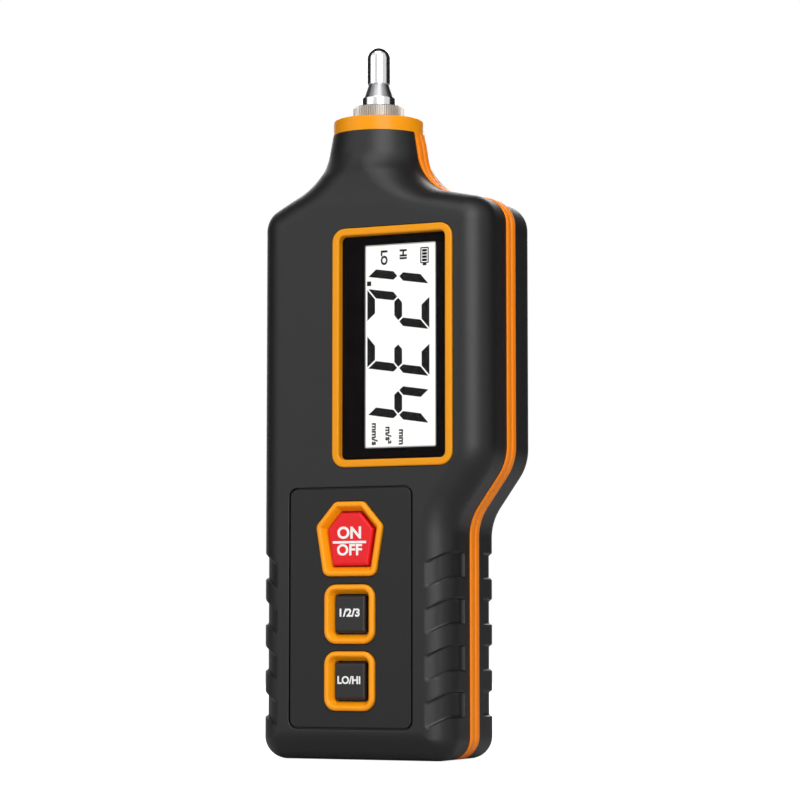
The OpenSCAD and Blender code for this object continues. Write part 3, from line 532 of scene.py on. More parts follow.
# half width of the neck at its top and at its root, and the heights of the shoulders and of the two roots
NECK, ROOT = 12.7, 15.2
LEFT_SHOULDER, RIGHT_SHOULDER = 149.5, 151
LEFT_ROOT = LEFT_SHOULDER + (GRIP - ROOT) * math.tan(math.radians(32.4))
RIGHT_ROOT = RIGHT_SHOULDER + (REACH - ROOT) * math.tan(math.radians(12.3))
# depth of the two halves from the seam, and the rounding of their edges
FRONT_DEPTH, REAR_DEPTH, FRONT_R, REAR_R = 18.0, 16.2, 8.2, 5.0
WALL = 2.2
# how deep the trim is let into the shells, and how wide it is on each side of the seam
BAND_SEAT, BAND_W = 1.2, 3.0
# the section is a box up to the first height, and a circle from the second
BOX_TO, ROUND_FROM = 150, 167

# the grip pockets: their number, pitch, top, half height and depth, and the heights they lie between
POCKETS, POCKET_PITCH, POCKET_TOP, POCKET_HALF, POCKET_DEPTH = 4, 12.5, 56, 3.45, 0.85
POCKET_LOW, POCKET_HIGH = 8, 60
# how far they stay from the seam, and over how much of x they run out towards the front
POCKET_SEAM, POCKET_RUN = 6.6, 3.6


def evenly(n):
    """So many shares between 0 and 1, without the ends."""
    return [k / (n + 1) for k in range(1, n + 1)]


# corner x, z, rounding, and the shares at which columns stand on the straight that follows: dense on the grip
LEFT_SIDE = [k / 24 for k in range(1, 15)] + [0.59 + 0.41 * k / 170 for k in range(1, 170)]
RIGHT_SIDE = [0.985 * k / 160 for k in range(1, 161)]
CORNERS = [
    (-NECK, SHELL_H, 0, evenly(16)),
    (-ROOT, LEFT_ROOT, 12, evenly(6)),
    (-GRIP, LEFT_SHOULDER, 7.4, LEFT_SIDE),
    (-GRIP, 0, 6.2, evenly(8)),
    (GRIP, 0, 6.2, RIGHT_SIDE),
    (GRIP, 64.8, 14, evenly(3)),
    (REACH, 80.2, 14, evenly(12)),
    (REACH, RIGHT_SHOULDER, 7.4, evenly(14)),
    (ROOT, RIGHT_ROOT, 13.5, evenly(16)),
    (NECK, SHELL_H, 0, []),
]


def outline(inset=0.0, step=3.0):
    """The outline in the seam plane, drawn in: columns of x, z, inward x, inward z.

    Its bends are walked in steps of so many degrees.
    """
    spots = [np.array(c[:2], float) for c in CORNERS]
    last = len(spots) - 1
    heads = [unit(spots[i + 1] - spots[i]) for i in range(last)]
    moved, radii, sides = [spots[0] + (inset, 0)], [0], [0]
    for i in range(1, last):
        before, after = heads[i - 1], heads[i]
        side = 1 if before[0] * after[1] - before[1] * after[0] > 0 else -1
        moved.append(spots[i] + (left(before) + left(after)) * inset / (1 + left(before) @ left(after)))
        radii.append(max(CORNERS[i][2] - inset, 0.4) if side > 0 else CORNERS[i][2] + inset)
        sides.append(side)
    moved.append(spots[last] - (inset, 0))
    runs = [unit(moved[i + 1] - moved[i]) for i in range(last)]
    bends = [[np.array((*moved[0], 1, 0))]]
    for i in range(1, last):
        before, r, side = runs[i - 1], radii[i], sides[i]
        angle = angle_between(before, runs[i])
        start = moved[i] - before * r * math.tan(angle / 2)
        centre = start + left(before) * r * side
        steps = max(1, math.ceil(math.degrees(angle_between(heads[i - 1], heads[i])) / step))
        inwards = [spun(left(before), side * angle * k / steps) for k in range(steps + 1)]
        bends.append([np.array((*(centre - inward * r * side), *inward)) for inward in inwards])
    bends.append([np.array((*moved[last], -1, 0))])
    columns = []
    for i in range(last):
        columns += bends[i]
        start, end = bends[i][-1][:2], bends[i + 1][0][:2]
        inward = left(unit(end - start))
        columns += [np.array((*(start + (end - start) * share), *inward)) for share in CORNERS[i][3]]
    return np.array(columns + bends[last])


def roundness(z):
    """How far the section has gone from a box to a circle at a height."""
    return eased((z - BOX_TO) / (ROUND_FROM - BOX_TO))


def pocket_drop(x):
    """How far the pockets slant down where they run out towards the front."""
    return 2.7 * np.clip((27.8 - np.abs(x)) / 5.1, 0, 1)


def pocket(x, y, z, start):
    """How deep the grip pockets are at points of a shell, in millimetres: they run out at x = start."""
    across = np.minimum(np.abs(x) - start, np.abs(y) - POCKET_SEAM)
    inside = np.full(x.shape, -9.0)
    for k in range(POCKETS):
        middle = POCKET_TOP - POCKET_PITCH * k - POCKET_HALF
        upright = POCKET_HALF - np.abs(z - (middle - pocket_drop(x)))
        inside = np.maximum(inside, np.minimum(upright, across))
    run_out = np.clip((np.abs(x) - start) / POCKET_RUN, 0, 1) ** 0.7
    return POCKET_DEPTH * eased((inside + 0.1) / 0.5) * run_out


def closing(heights, whole_below):
    """Faces that close an outline from its open top down, as column numbers.

    Where both sides are below a height, one face takes all that is left.
    """
    faces, a, b = [], 0, len(heights) - 1
    while b - a > 1:
        if max(heights[a + 1], heights[b - 1]) < whole_below:
            return faces + [tuple(range(a, b + 1))]
        if b - a == 2 or heights[a + 1] >= heights[b - 1]:
            faces.append((a, a + 1, b))
            a += 1
        else:
            faces.append((a, b - 1, b))
            b -= 1
    return faces


def half_body(name, lead, inset, depth, r, seam, wall_levels, bend_levels, step=3.0, pockets=False):
    """Half of the housing as one closed form, its face at -Y.

    The lead lists how far its first rows are drawn in, and how far they are from the seam. The rows that
    follow go straight up the wall for a sixth of the way, and round its edge for the rest; in the neck they
    go round a circle.
    """
    rows = []
    for drawn_in, away in lead:
        columns = outline(drawn_in, step)
        rows.append(np.stack([columns[:, 0], np.full(len(columns), -away), columns[:, 1]], 1))
    rim = outline(inset, step)
    half = np.abs(rim[:, 0])
    on_grip = half < GRIP + 0.01
    neck_start = np.arcsin(np.clip(seam / np.maximum(half, seam), 0, 1))
    shares = [k / wall_levels / 6 for k in range(wall_levels)]
    shares += [1 / 6 + 5 / 6 * k / bend_levels for k in range(bend_levels + 1)]
    for share in shares:
        way = share * 6
        turn = math.radians(90 * max(way - 1, 0) / 5)
        box = outline(inset + r * (1 - math.cos(turn)), step)
        box_y = seam + (depth - r - seam) * way if way <= 1 else depth - r + r * math.sin(turn)
        neck_turn = neck_start + (math.radians(87) - neck_start) * share
        neck_y = np.minimum(half, ROOT - inset) * np.sin(neck_turn)
        w = roundness(rim[:, 1])
        x = box[:, 0] * (1 - w) + rim[:, 0] * np.cos(neck_turn) * w
        z = box[:, 1] * (1 - w) + rim[:, 1] * w
        w = roundness(z)
        y = -(box_y * (1 - w) + neck_y * w)
        if pockets:
            # the columns slant with the pockets, so that no pocket edge cuts across them
            slant = np.clip((rim[:, 1] - 6.3) / 4, 0, 1) * np.clip((POCKET_HIGH - rim[:, 1]) / 3, 0, 1)
            z = z - pocket_drop(x) * slant * on_grip
            deep = pocket(x, y, z, max(22.2, GRIP - r + 0.1))
            sunk = np.where((z > POCKET_LOW) & (z < POCKET_HIGH) & on_grip, deep, 0)
            x = x - np.sign(x) * math.cos(turn) * sunk
            y = y + math.sin(turn) * sunk
        rows.append(np.stack([x, y, z], 1))
    grid = np.array(rows)
    m, n = grid.shape[:2]

    def at(i, j):
        return i * n + j

    faces = [(at(i, j), at(i, j + 1), at(i + 1, j + 1), at(i + 1, j)) for i in range(m - 1) for j in range(n - 1)]
    faces += [(at(i, 0), at(i + 1, 0), at(i + 1, n - 1), at(i, n - 1)) for i in range(m - 1)]
    for i, order, whole_below in ((0, 1, -math.inf), (m - 1, -1, BOX_TO - 0.1)):
        faces += [tuple(at(i, j) for j in face)[::order] for face in closing(grid[i, :, 2], whole_below)]
    return outward(solid(name, grid.reshape(-1, 3), faces))


def hollow_core(depth, r):
    """The inside of a half: its form, drawn in by the wall."""
    return half_body("core", [(WALL, -1.0)], WALL, depth - WALL, r - WALL, 1.0, 3, 8, step=9.0)


CASE_POSTS = [(-21.4, 12.3), (21.4, 12.3), (-21.4, 139.3), (33.6, 139.3)]
# outlines on the front, with their rounding: opening of the display, its clear field, key panel
DISPLAY = box_corners(12.5, 111.6, 31.6, 61.2), 1.6
FIELD = box_corners(14.25, 111.8, 21.2, 55.4), 0.5
PANEL = box_corners(0, 41, 37, 65.2), 2.4
KEYS = {
    "measure": ([(-7.8, 49.5), (7.8, 49.5), (10, 63.135), (4.3, 69.7), (-4.3, 69.7), (-10, 63.135)], 2.12),
    "mode": (box_corners(0, 39.3, 15, 16), 3.45),
    "range": (box_corners(0, 21.3, 15, 16), 3.45),
}


def lip(depth_y, r, grow=0.0):
    """Profile of a cutter with a rounded lip at the front face."""
    steps = [(0.0, depth_y)] + [(r - c, -FRONT_DEPTH + r - s) for c, s in quarter(r, 4)]
    return [(out + grow, y) for out, y in steps + [(r, -FRONT_DEPTH - 1.5)]]


seat = [(BAND_SEAT, 0), (BAND_SEAT, BAND_W)]
front = half_body("front_cover", seat, 0, FRONT_DEPTH, FRONT_R, BAND_W, 16, 26, pockets=True)
cuts = [("-", hollow_core(FRONT_DEPTH, FRONT_R))]
cuts += [("+", rod("post", x, z, 3.0, -15.9, 0)) for x, z in CASE_POSTS]
cuts += [("-", plate("cut", *DISPLAY, lip(-17.0, 0.25, 2.1))),
         ("-", plate("cut", *DISPLAY, [(1.1, -17.5), (1.1, -14.0)])),
         ("-", plate("cut", *PANEL, lip(-17.0, 0.3)))]
cuts += [("-", plate("cut", *key, [(0.1, -17.5), (0.1, -14.0)])) for key in KEYS.values()]
cuts += [("-", rod("bore", x, z, 1.4, -13.6, 1)) for x, z in CASE_POSTS]
smooth(worked(front, *cuts), 35)

# battery bay and door: limits of the two, wall of the bay, play of the door; OVER is just outside the rear face
BAY_FLOOR, BAY_HALF, BAY_LOW, BAY_TOP, BAY_WALL = -4.36, 14.15, 8.46, 64.0, 1.3
DOOR_IN, DOOR_HALF, DOOR_TOP, DOOR_GAP = 14.2, 14.78, 64.78, 0.15
OVER = REAR_DEPTH + 1
# the bottom of the sinks of the case screws
SINK_Y = 6.97

rear = mirrored(half_body("rear_cover", seat, 0, REAR_DEPTH, REAR_R, BAND_W, 22, 18, pockets=True))
bay_x, rails_x = BAY_HALF + BAY_WALL, 17.68
cuts = [("-", mirrored(hollow_core(REAR_DEPTH, REAR_R))),
        ("+", brick("bay", (-bay_x, bay_x), (BAY_FLOOR - BAY_WALL, DOOR_IN - DOOR_GAP),
                    (BAY_LOW - BAY_WALL, BAY_TOP + BAY_WALL))),
        ("+", brick("rails", (-rails_x, rails_x), (DOOR_IN - 2.75, DOOR_IN + 1.1), (1.2, DOOR_TOP + 1.3)))]
cuts += [("+", rod("post", x, z, 3.4, 0, REAR_DEPTH - 1.1)) for x, z in CASE_POSTS]
for slot_x, slot_y in ((DOOR_HALF + DOOR_GAP, OVER), (DOOR_HALF + 1.75, DOOR_IN + 0.95)):
    cuts.append(("-", brick("slot", (-slot_x, slot_x), (DOOR_IN - DOOR_GAP, slot_y), (-1, DOOR_TOP + DOOR_GAP))))
cuts += [("-", brick("bay", (-BAY_HALF, BAY_HALF), (BAY_FLOOR, OVER), (BAY_LOW, BAY_TOP))),
         ("-", brick("notch", (-3.25, 3.25), (BAY_FLOOR, BAY_FLOOR + 2.6), (BAY_TOP - 1, BAY_TOP + 2.3)))]
sink = [(2.8, SINK_Y), (2.8, REAR_DEPTH - 0.3), (2.9, REAR_DEPTH - 0.09), (3.1, REAR_DEPTH), (3.1, OVER)]
for x, z in CASE_POSTS:
    cuts += [("-", rod("bore", x, z, 1.5, -1, REAR_DEPTH)), ("-", barrel("sink", x, z, sink))]
smooth(worked(rear, *cuts), 35)

# -------- trim bands and collar

COLLAR_IN, COLLAR_OUT, COLLAR_LOW, COLLAR_TOP, COLLAR_EDGE = 5.3, 12.6, 172.4, 176.5, 0.45
# section of the bead: how far it stands out of the shell, and its y
BEAD = [(-1.15, -2.95), (0.02, -2.95), (0.2, -2.85), (0.34, -2.6), (0.42, -2.2), (0.45, -1.7), (0.44, -1.0),
        (0.36, -0.6), (0.2, -0.36), (-0.05, -0.28), (-0.5, -0.26), (-0.5, -0.02), (-1.15, -0.02)]


def trim(name):
    """One half of the orange trim: a bead along the seam, and half of the collar on the neck."""
    columns = outline()
    proud = eased(columns[:, 1] / 6.2) * eased((173.0 - columns[:, 1]) / 4)
    rings = []
    for (x, z, inward_x, inward_z), share in zip(columns, proud):
        section = [(out * share if out > 0 else out, y) for out, y in BEAD]
        rings.append([(x - inward_x * out, y, z - inward_z * out) for out, y in section])
    bead = lofted(name, rings)
    edge = [(COLLAR_OUT - COLLAR_EDGE + c, COLLAR_TOP - COLLAR_EDGE + s) for c, s in quarter(COLLAR_EDGE, 4)[1:]]
    section = [(COLLAR_IN, COLLAR_LOW), (12.55, COLLAR_LOW), (COLLAR_OUT, 172.5),
               (COLLAR_OUT, COLLAR_TOP - COLLAR_EDGE), *edge, (COLLAR_IN, COLLAR_TOP)]
    angles = [math.pi * (1 + k / 60) for k in range(61)]
    half = lofted("collar", [[(r * math.cos(a), r * math.sin(a), z) for r, z in section] for a in angles])
    for v in half.data.vertices:
        v.co.y = min(v.co.y, -0.02 * MM)
    return worked(bead, ("+", outward(half)))


front_trim = smooth(trim("front_trim"))
rear_trim = smooth(mirrored(trim("rear_trim")))

# -------- display

# the front face of the display's glass, which its ink lies on, and the thickness of the ink
GROUND_Y, INK = -16.28, 0.03

bezel = smooth(plate("bezel", *DISPLAY, [
    (2.05, -17.0), (2.05, -18.05), (2.01, -18.24), (1.9, -18.4), (1.72, -18.48), (1.5, -18.5), (0.5, -18.5),
    (0.3, -18.47), (0.14, -18.37), (0.03, -18.2), (0.0, -18.0), (0.0, -16.3), (-0.8, -16.3), (-0.8, -15.5),
    (1.0, -15.5), (1.0, -17.0)], closed=True))
window = smooth(plate("window", *DISPLAY, [
    (-0.1, -16.36), (-0.1, -17.65), (-0.14, -17.74), (-0.22, -17.79), (-0.35, -17.8)]))
film = worked(plate("window_print", *DISPLAY, [(-0.12, -16.31), (-0.12, -16.345)]),
              ("-", plate("cut", *FIELD, [(0, -15), (0, -17)])))
glass = smooth(brick("display_glass", (1.7, 26.8), (GROUND_Y, -13.0), (83.2, 140.2), 0.3), 35)

# -------- keys

CAP_FACE = -18.08

panel = plate("key_plate", *PANEL, [
    (-0.4, -17.05), (-0.4, -17.7), (-0.43, -17.82), (-0.5, -17.93), (-0.6, -17.98), (-0.75, -18.0)])
smooth(worked(panel, *[("-", plate("cut", *key, lip(-16.5, 0.2, 0.12))) for key in KEYS.values()]), 35)

surrounds, caps = {}, {}
for name, key in KEYS.items():
    surrounds[name] = smooth(plate(name + "_rim", *key, [
        (0.0, -15.8), (0.0, -18.25), (-0.05, -18.5), (-0.18, -18.72), (-0.4, -18.9), (-0.7, -18.99), (-1.0, -19.0),
        (-1.25, -18.92), (-1.42, -18.74), (-1.65, -18.32), (-1.98, -17.66), (-2.3, -17.04), (-2.42, -16.88),
        (-2.5, -16.8), (-2.5, -15.0), (0.8, -15.0), (0.8, -15.8)], closed=True, steps=10))
    caps[name] = smooth(plate(name + "_cap", *key, [
        (-1.35, -14.1), (-1.35, -14.9), (-2.96, -14.9), (-2.96, -17.3), (-3.0, -17.55), (-3.12, -17.78),
        (-3.32, -17.96), (-3.56, CAP_FACE + 0.02), (-3.76, CAP_FACE)], steps=10))

# -------- probe and nut

TIP_R, TIP_BEND = 3.25, 194.45

probe = smooth(turned("probe", [
    (2.4, 174.4), (2.4, 179.4), (3.2, 179.5), (3.2, 180.68), (4.5, 180.7), (4.7, 180.85), (4.7, 183.0),
    (4.55, 183.2), (4.2, 183.22), (4.12, 183.35), (2.95, 186.75), (2.9, 187.1), (3.1, 187.12), (TIP_R, 187.3),
    (TIP_R, TIP_BEND), *[(c, TIP_BEND + s) for c, s in quarter(TIP_R, 16)[1:-1]], (0.05, 197.7)]))
nut = smooth(turned("nut_body", [
    (5.05, 176.62), (6.5, 176.62), (6.82, 176.85), (6.82, 180.3), (6.5, 180.6), (3.25, 180.6), (3.25, 179.6),
    (5.05, 179.6)], hollow=True))

# -------- repeated pieces


def copier(name, layout, **sockets):
    """A geometry tree that sets a pattern on points, as real, finished mesh.

    The layout makes the points, and a rotation if there is one, from the inputs that are given.
    """
    nodes = bpy.data.node_groups.new(name, "GeometryNodeTree")
    nodes.interface.new_socket(name="Geometry", in_out="INPUT", socket_type="NodeSocketGeometry")
    for label, kind in dict(Pattern="Object", Finish="Material", **sockets).items():
        nodes.interface.new_socket(name=label, in_out="INPUT", socket_type="NodeSocket" + kind)
    nodes.interface.new_socket(name="Geometry", in_out="OUTPUT", socket_type="NodeSocketGeometry")
    tree = Tree(nodes)
    given = {s.name: Wire(tree, s) for s in nodes.nodes.new("NodeGroupInput").outputs if s.name}
    pattern = tree.add("GeometryNodeObjectInfo", {"Object": given["Pattern"]}, output="Geometry",
                       transform_space="ORIGINAL")
    copies = tree.add("GeometryNodeInstanceOnPoints", {"Instance": pattern, **layout(tree, given)})
    real = tree.add("GeometryNodeRealizeInstances", {0: copies})
    done = tree.add("GeometryNodeSetMaterial", {"Geometry": real, "Material": given["Finish"]})
    nodes.links.new(done.socket, nodes.nodes.new("NodeGroupOutput").inputs[0])
    return nodes


def spots_layout(tree, given):
    """On the points of the mesh itself, turned as each point says."""
    turn = tree.add("GeometryNodeInputNamedAttribute", {"Name": "turn"}, data_type="FLOAT_VECTOR")
    return {"Points": given["Geometry"], "Rotation": tree.add("FunctionNodeEulerToRotation", {0: turn})}


def ring_layout(tree, given):
    """Round the probe axis, at a radius and a height."""
    ring = tree.add("GeometryNodeMeshCircle", {"Vertices": given["Count"], "Radius": given["Radius"]})
    rise = tree.add("ShaderNodeCombineXYZ", {2: given["Height"]})
    turn = tree.add("ShaderNodeCombineXYZ", {
        2: tree.add("GeometryNodeInputIndex") * (2 * math.pi) / given["Count"]})
    return {"Points": tree.add("GeometryNodeTransform", {"Geometry": ring, "Translation": rise}),
            "Rotation": tree.add("FunctionNodeEulerToRotation", {0: turn})}


def row_layout(tree, given):
    """In a straight row, from a start, by a step."""
    return {"Points": tree.add("GeometryNodeMeshLine", {
        "Count": given["Count"], "Start Location": given["Start"], "Offset": given["Step"]})}


SPOTS = copier("copies_at_points", spots_layout)
RING = copier("copies_in_a_ring", ring_layout, Count="Int", Radius="Float", Height="Float")
ROW = copier("copies_in_a_row", row_layout, Count="Int", Start="Vector", Step="Vector")


def grown(name, source, tree, pattern, finish, **inputs):
    """The plain mesh that a geometry tree makes of a pattern."""
    piece = source or solid(name, [(0, 0, 0)], [])
    work = piece.modifiers.new("copies", "NODES")
    work.node_group = tree
    inputs.update(Pattern=pattern, Finish=finish)
    for item in tree.interface.items_tree:
        if item.in_out == "INPUT" and item.name in inputs:
            work[item.identifier] = inputs[item.name]
    settled(piece)
    dropped(pattern)
    return piece


def at_spots(name, pattern, spots, finish):
    """Copies of a pattern at (x, y, z, turn about Y in degrees), in millimetres."""
    source = solid(name, [s[:3] for s in spots], [])
    turns = source.data.attributes.new("turn", "FLOAT_VECTOR", "POINT")
    turns.data.foreach_set("vector", [v for s in spots for v in (0, math.radians(s[3]), 0)])
    return grown(name, source, SPOTS, pattern, finish)


def joined(name, *pieces):
    """Several pieces as one mesh."""
    work = bmesh.new()
    for piece in pieces:
        work.from_mesh(piece.data)
    mesh = bpy.data.meshes.new(name)
    work.to_mesh(mesh)
    work.free()
    dropped(*pieces)
    return shown(name, mesh)


# -------- case screws, knurl

# a quarter of the cross slot: an inner corner and the end of an arm
ARM = ((0.32, -0.32), (1.25, -0.26), (1.25, 0.26))
cross = [(a * c - b * s, a * s + b * c) for c, s in ((1, 0), (0, 1), (-1, 0), (0, -1)) for a, b in ARM]
recess = lofted("recess", [laid(scaled(cross, share), y) for share, y in ((0.55, 0.75), (1.0, 1.9), (1.0, 2.6))])
head = barrel("screw_head", 0, 0, [(2.6, 0), (2.6, 0.55), (2.45, 1.0), (2.1, 1.4), (1.5, 1.68), (0.8, 1.78)])
screw = worked(worked(head, ("-", recess)), ("+", rod("shank", 0, 0, 1.35, -16.2, 0.3)))
screw_spots = [(x, SINK_Y, z, 30 * k) for k, (x, z) in enumerate(CASE_POSTS)]
case_screws = smooth(at_spots("screws", screw, screw_spots, FINISH["screw_steel"]), 30)

RIDGE = ((0.0, -0.24), (0.36, -0.07), (0.36, 0.07), (0.0, 0.24))
ridge = lofted("ridge", [[(x * share - 0.12, y * share, z) for x, y in RIDGE]
                         for share, z in ((0.4, -1.72), (1.0, -1.45), (1.0, 1.45), (0.4, 1.72))])
knurl = smooth(grown("nut_knurl", None, RING, ridge, FINISH["nut_metal"], Count=64, Radius=6.88 * MM,
                     Height=178.6 * MM), 30)

# -------- battery door


def door_section(back, top, r=5.0):
    """The door's section from the side: flat against the bay, rounded at the foot like the housing."""
    bend = [(REAR_DEPTH - r + c, r - s) for c, s in quarter(r, 16)]
    foot = r - math.sqrt(max(r * r - (back - REAR_DEPTH + r) ** 2, 0))
    return [(back, top), (REAR_DEPTH, top)] + [(y, z) for y, z in bend if y > back] + [(back, foot)]


def engraved(name, points, middle, profile):
    """A cutter for the door's face: profile lists shares of its size, and how far out of the face they are."""
    return lofted(name, [laid(scaled(points, share, middle), REAR_DEPTH + out) for share, out in profile])


door = lofted("door", [[(x, y, z) for y, z in door_section(DOOR_IN, DOOR_TOP)] for x in (-DOOR_HALF, DOOR_HALF)])
bevelled(door, 0.35, 3, 50)
dish = engraved("dish", rounded(box_corners(0, 51.5, 17.4, 19.6), 2.4), 51.5, [
    (0.93, -0.62), (0.965, -0.52), (0.99, -0.28), (1.0, -0.08), (1.012, 0), (1.03, 1)])
arrow = engraved("groove", [(0, 34.2), (4.6, 38.2), (0, 36.9), (-4.6, 38.2)], 36.6, [
    (0.82, -0.4), (0.95, -0.05), (1.02, 0), (1.1, 1)])
tongues = brick("tongues", (-16.38, 16.38), (DOOR_IN, DOOR_IN + 0.8), (5.0, DOOR_TOP), 0.15)
smooth(worked(door, ("-", arrow), ("+", tongues), ("-", dish)), 35)
grip = brick("grip", (-6.6, 6.6), (-0.3, 0.56), (-0.55, 0.55), 0.3, 3)
door_ridges = smooth(grown("door_ridges", None, ROW, grip, FINISH["housing"], Count=6,
                           Start=(0, (REAR_DEPTH - 0.6) * MM, 44.4 * MM), Step=(0, 0, 2.6 * MM)), 35)

# -------- display digits and lettering

# half height and half width of a digit, width of its bars, gap between them, and how far the digits lean
high, wide, bar, slit, LEAN = 18.5 / 2, 9.0 / 2, 2.3, 0.3, 0.15
SEGMENTS = {
    "top": [(-wide + slit, high), (-wide + bar + slit, high - bar), (wide - bar - slit, high - bar),
            (wide - slit, high)],
    "upper": [(wide, high - slit), (wide - bar, high - bar - slit), (wide - bar, bar / 2 + slit),
              (wide - bar / 2, slit), (wide, bar / 2 + slit)],
    "lower": [(wide, -high + slit), (wide, -bar / 2 - slit), (wide - bar / 2, -slit),
              (wide - bar, -bar / 2 - slit), (wide - bar, -high + bar + slit)],
    "middle": [(-wide + bar / 2 + slit, 0), (-wide + bar + slit, -bar / 2), (wide - bar - slit, -bar / 2),
               (wide - bar / 2 - slit, 0), (wide - bar - slit, bar / 2), (-wide + bar + slit, bar / 2)],
}
# digit centres along the reading direction, and the segments that are lit: (name, turned half round)
DIGITS_X = 13.62
DIGITS = {
    134.0: [("upper", 0), ("lower", 0)],
    121.66: [("top", 0), ("upper", 0), ("middle", 0), ("upper", 1), ("top", 1)],
    108.96: [("top", 0), ("upper", 0), ("middle", 0), ("lower", 0), ("top", 1)],
    96.31: [("lower", 1), ("upper", 0), ("middle", 0), ("lower", 0)],
}


def printed(name, points, y=0.0, thick=INK):
    """A flat mark of ink on the front."""
    return lofted(name, [laid(points, y + up) for up in (-thick, 0.0)])


bars = []
for name, shape in SEGMENTS.items():
    # the display is read downwards: across is -Z, up is +X
    pattern = printed(name, [(q, -(p + LEAN * q)) for p, q in shape])
    spots = [(DIGITS_X, GROUND_Y, z, 180 * half) for z, lit in DIGITS.items() for part, half in lit if part == name]
    bars.append(at_spots("bars", pattern, spots, segment_ink))
digits = joined("display_digits", *bars)


def lettering(text, size, x, y, z, weight, width, down=False):
    """Plain letters standing on the front at a point, read to the right, or downwards."""
    curve = bpy.data.curves.new("lettering", "FONT")
    curve.body, curve.size, curve.extrude, curve.offset = text, size * MM, INK / 2 * MM, weight * MM
    curve.align_x, curve.align_y, curve.resolution_u = "CENTER", "CENTER", 4
    flat = shown("lettering", curve)
    bpy.context.view_layer.update()
    mesh = bpy.data.meshes.new_from_object(flat.evaluated_get(bpy.context.evaluated_depsgraph_get()))
    dropped(flat)
    across, up = [Vector(axis) for axis in (((0, 0, -1), (1, 0, 0)) if down else ((1, 0, 0), (0, 0, 1)))]
    turn = Matrix((across * width, up, across.cross(up))).transposed().to_4x4()
    mesh.transform(Matrix.Translation(Vector((x, y, z)) * MM) @ turn)
    return shown("lettering", mesh)


# each word's text, size, x, z, added weight and width
SIGNS = [("LO", 2.6, 9.3, 135.9, 0.12, 1.2), ("HI", 2.8, 15.0, 136.5, 0.12, 1.05),
         ("mm/s", 2.3, 6.5, 87.9, 0.09, 1.2), ("m/s²", 2.3, 10.6, 87.5, 0.09, 1.15),
         ("mm", 2.3, 14.6, 86.9, 0.09, 1.2)]
WORDS = {
    "measure": [("ON", 4.4, -0.1, 61.1, 0.13, 1.05), ("OFF", 4.1, -0.1, 56.5, 0.12, 1.05)],
    "mode": [("1/2/3", 2.9, -0.2, 39.6, 0.1, 1.12)],
    "range": [("LO/HI", 2.8, -0.2, 21.5, 0.1, 0.98)],
}
BATTERY_X = 21.45

point = printed("mark", [(4.25, 128.35), (5.5, 128.35), (5.5, 129.6), (4.25, 129.6)], GROUND_Y)
signs = [lettering(text, size, x, GROUND_Y - INK / 2, z, weight, width, down=True)
         for text, size, x, z, weight, width in SIGNS]
battery_outline = plate("battery_outline", box_corners(BATTERY_X, 135.9, 2.5, 4.4), 0.3, [
    (0.0, GROUND_Y), (0.0, GROUND_Y - INK), (-0.32, GROUND_Y - INK), (-0.32, GROUND_Y)], closed=True)
battery_cap = printed("mark", [(20.9, 133.12), (22.0, 133.12), (22.0, 133.68), (20.9, 133.68)], GROUND_Y)
cell = printed("cell", [(-0.72, -0.34), (0.72, -0.34), (0.72, 0.34), (-0.72, 0.34)])
cells = grown("cells", None, ROW, cell, segment_ink, Count=4,
              Start=(BATTERY_X * MM, GROUND_Y * MM, 134.6 * MM), Step=(0, 0, 0.87 * MM))
display_marks = joined("display_marks", point, *signs, battery_outline, battery_cap, cells)

line = printed("bar", [(-5.1, 58.38), (4.9, 58.38), (4.9, 59.02), (-5.1, 59.02)], CAP_FACE, 0.025)
labels = {}
for name, words in WORDS.items():
    letters = [lettering(text, size, x, CAP_FACE - 0.012, z, weight, width)
               for text, size, x, z, weight, width in words]
    labels[name] = joined(name + "_label", *([line] if name == "measure" else []), *letters)

# -------- what rides on what, and its finish

for part in frame["record"]["subparts"]:
    node = frame["nodes"][part["node"]]
    node.data.materials.clear()
    node.data.materials.append(FINISH[part["material_slot"]])

# each piece, the body it rides on, its slot, and the CAD nodes it stands for
PLACED = [
    (front, "housing", "housing", ["front_shell"]),
    (rear, "housing", "housing", ["rear_shell"]),
    (front_trim, "housing", "trim", ["front_band"]),
    (rear_trim, "housing", "trim", ["rear_band"]),
    (bezel, "housing", "bezel", ["display_bezel"]),
    (window, "housing", "window", ["display_window"]),
    (film, "housing", "window_print", ["window_mask"]),
    (glass, "housing", "lcd", ["lcd_glass"]),
    (panel, "housing", "housing_panel", ["key_panel"]),
    (case_screws, "housing", "screw_steel", ["case_screws"]),
    (door, "battery_door", "housing", ["battery_door"]),
    (door_ridges, "battery_door", "housing", []),
    (probe, "probe", "probe_chrome", ["probe_tip"]),
    (nut, "nut", "nut_metal", ["knurled_nut"]),
    (knurl, "nut", "nut_metal", []),
]
KEY_SLOTS = {"measure": "red_key", "mode": "grey_key", "range": "grey_key"}
for name, slot in KEY_SLOTS.items():
    PLACED.append((surrounds[name], "housing", "surround", [name + "_surround"]))
    PLACED.append((caps[name], name + "_key", slot, [name + "_key"]))
for piece, body, slot, nodes in PLACED:
    finished(piece, slot)
    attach(piece, body)
    if nodes:
        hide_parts(*nodes)
# a grey line of painted shade round the clear field of the window's print
field_edge = plate("field_edge", *FIELD, [
    (0.0, -16.3), (0.0, -16.287), (-0.32, -16.287), (-0.32, -16.3)], closed=True)
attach(finished(field_edge, "lcd", painted_edge_shade), "housing")
for piece in (digits, display_marks):
    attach(finished(piece, "lcd", segment_ink), "housing")
for name, piece in labels.items():
    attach(finished(piece, KEY_SLOTS[name], label_ink), name + "_key")

# -------- studio

scene = bpy.context.scene
scene.view_settings.view_transform = "Standard"


def sheet(name, points, finish):
    """A single face that belongs to the studio."""
    piece = solid(name, points, [(0, 1, 2, 3)])
    piece.data.materials.append(finish.material)
    piece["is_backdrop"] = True
    return piece


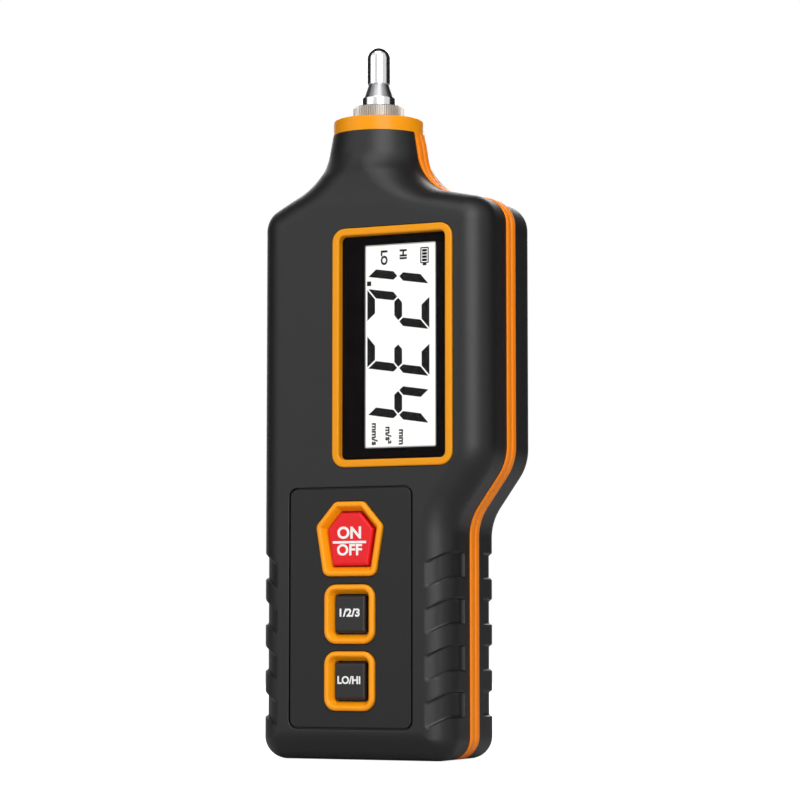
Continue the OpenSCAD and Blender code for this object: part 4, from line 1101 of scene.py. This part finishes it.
# a pale floor that the camera sees a little brighter than its light makes it
FLOOR_HALF, FLOOR_Z = 3000, -0.05
ground = Finish("pale_floor", Roughness=0.8)
ground.feed(Base_Color=ground.tint(ground.noise(400), (0.54, 0.54, 0.54), (0.56, 0.56, 0.56)))
white = ground.add("ShaderNodeEmission", {"Color": (1, 1, 1, 1), "Strength": 4.45})
seen = ground.add("ShaderNodeLightPath", output="Is Camera Ray")
mixed = ground.add("ShaderNodeMixShader", {0: seen * 0.2, 1: Wire(ground, ground.shader.outputs[0]), 2: white})
ground.nodes.links.new(mixed.socket, ground.nodes.nodes["Material Output"].inputs["Surface"])
sheet("floor", [(x * FLOOR_HALF, y * FLOOR_HALF, FLOOR_Z) for x, y in ((-1, -1), (1, -1), (1, 1), (-1, 1))], ground)

# the world is white to the camera, and dimmer as a light and in reflections
world = bpy.data.worlds.new("studio")
world.use_nodes = True
scene.world = world
air = Tree(world.node_tree)
seen, mirrored_in, through = [air.add("ShaderNodeLightPath", output=ray) for ray in (
    "Is Camera Ray", "Is Glossy Ray", "Is Transmission Ray")]
strength = 0.28 + seen * 0.72 + mirrored_in * 0.47 + through * 0.7
background = air.nodes.nodes["Background"]
air.nodes.links.new(strength.socket, background.inputs["Strength"])
background.inputs["Color"].default_value = (1, 1, 1, 1)


def lamp(name, azimuth, height, distance, width, tall, watts):
    """A soft box that looks at the meter, in metres; azimuth 0 is straight in front of it."""
    light = bpy.data.lights.new(name, "AREA")
    light.shape, light.size, light.size_y, light.energy = "RECTANGLE", width, tall, watts
    piece = shown(name, light)
    a = math.radians(azimuth)
    piece.location = (distance * math.sin(a), -distance * math.cos(a), height)
    piece.rotation_euler = (Vector((0, 0, 0.1)) - piece.location).to_track_quat("-Z", "Y").to_euler()


def flag(name, azimuth, width, low, high):
    """A black board that only reflections see, as a photographer puts beside bright metal.

    It stands, leans or lies between two edges, each given as a distance and a height, in metres.
    """
    a = math.radians(azimuth)
    side = np.array((math.cos(a), math.sin(a), 0)) * width / 2
    away = np.array((math.sin(a), -math.cos(a), 0))
    points = [(away * edge[0] + side * s + (0, 0, edge[1])) * 1000
              for s, edge in ((-1, low), (1, low), (1, high), (-1, high))]
    black = Finish("black_board", Roughness=1.0)
    black.feed(Base_Color=black.tint(black.noise(200), (0.01, 0.01, 0.01), (0.014, 0.014, 0.014)))
    board = sheet(name, points, black)
    board.visible_camera = board.visible_diffuse = board.visible_shadow = board.visible_transmission = False


lamp("key_light", 37, 0.42, 0.9, 0.64, 1.0, 7.4)
lamp("fill_light", -36, 0.35, 1.1, 0.9, 0.9, 1.7)
lamp("top_light", 10, 1.1, 0.5, 0.8, 0.5, 3.0)
lamp("back_light", 205, 0.5, 1.1, 0.8, 0.8, 5.5)
flag("left_board", -90, 1.32, (1.3, 0.0), (1.3, 1.6))
flag("right_board", 139, 1.7, (1.3, 0.0), (1.3, 1.6))
flag("roof_board", 205, 2.6, (-0.25, 1.6), (1.3, 1.6))

# -------- finish

low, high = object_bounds()
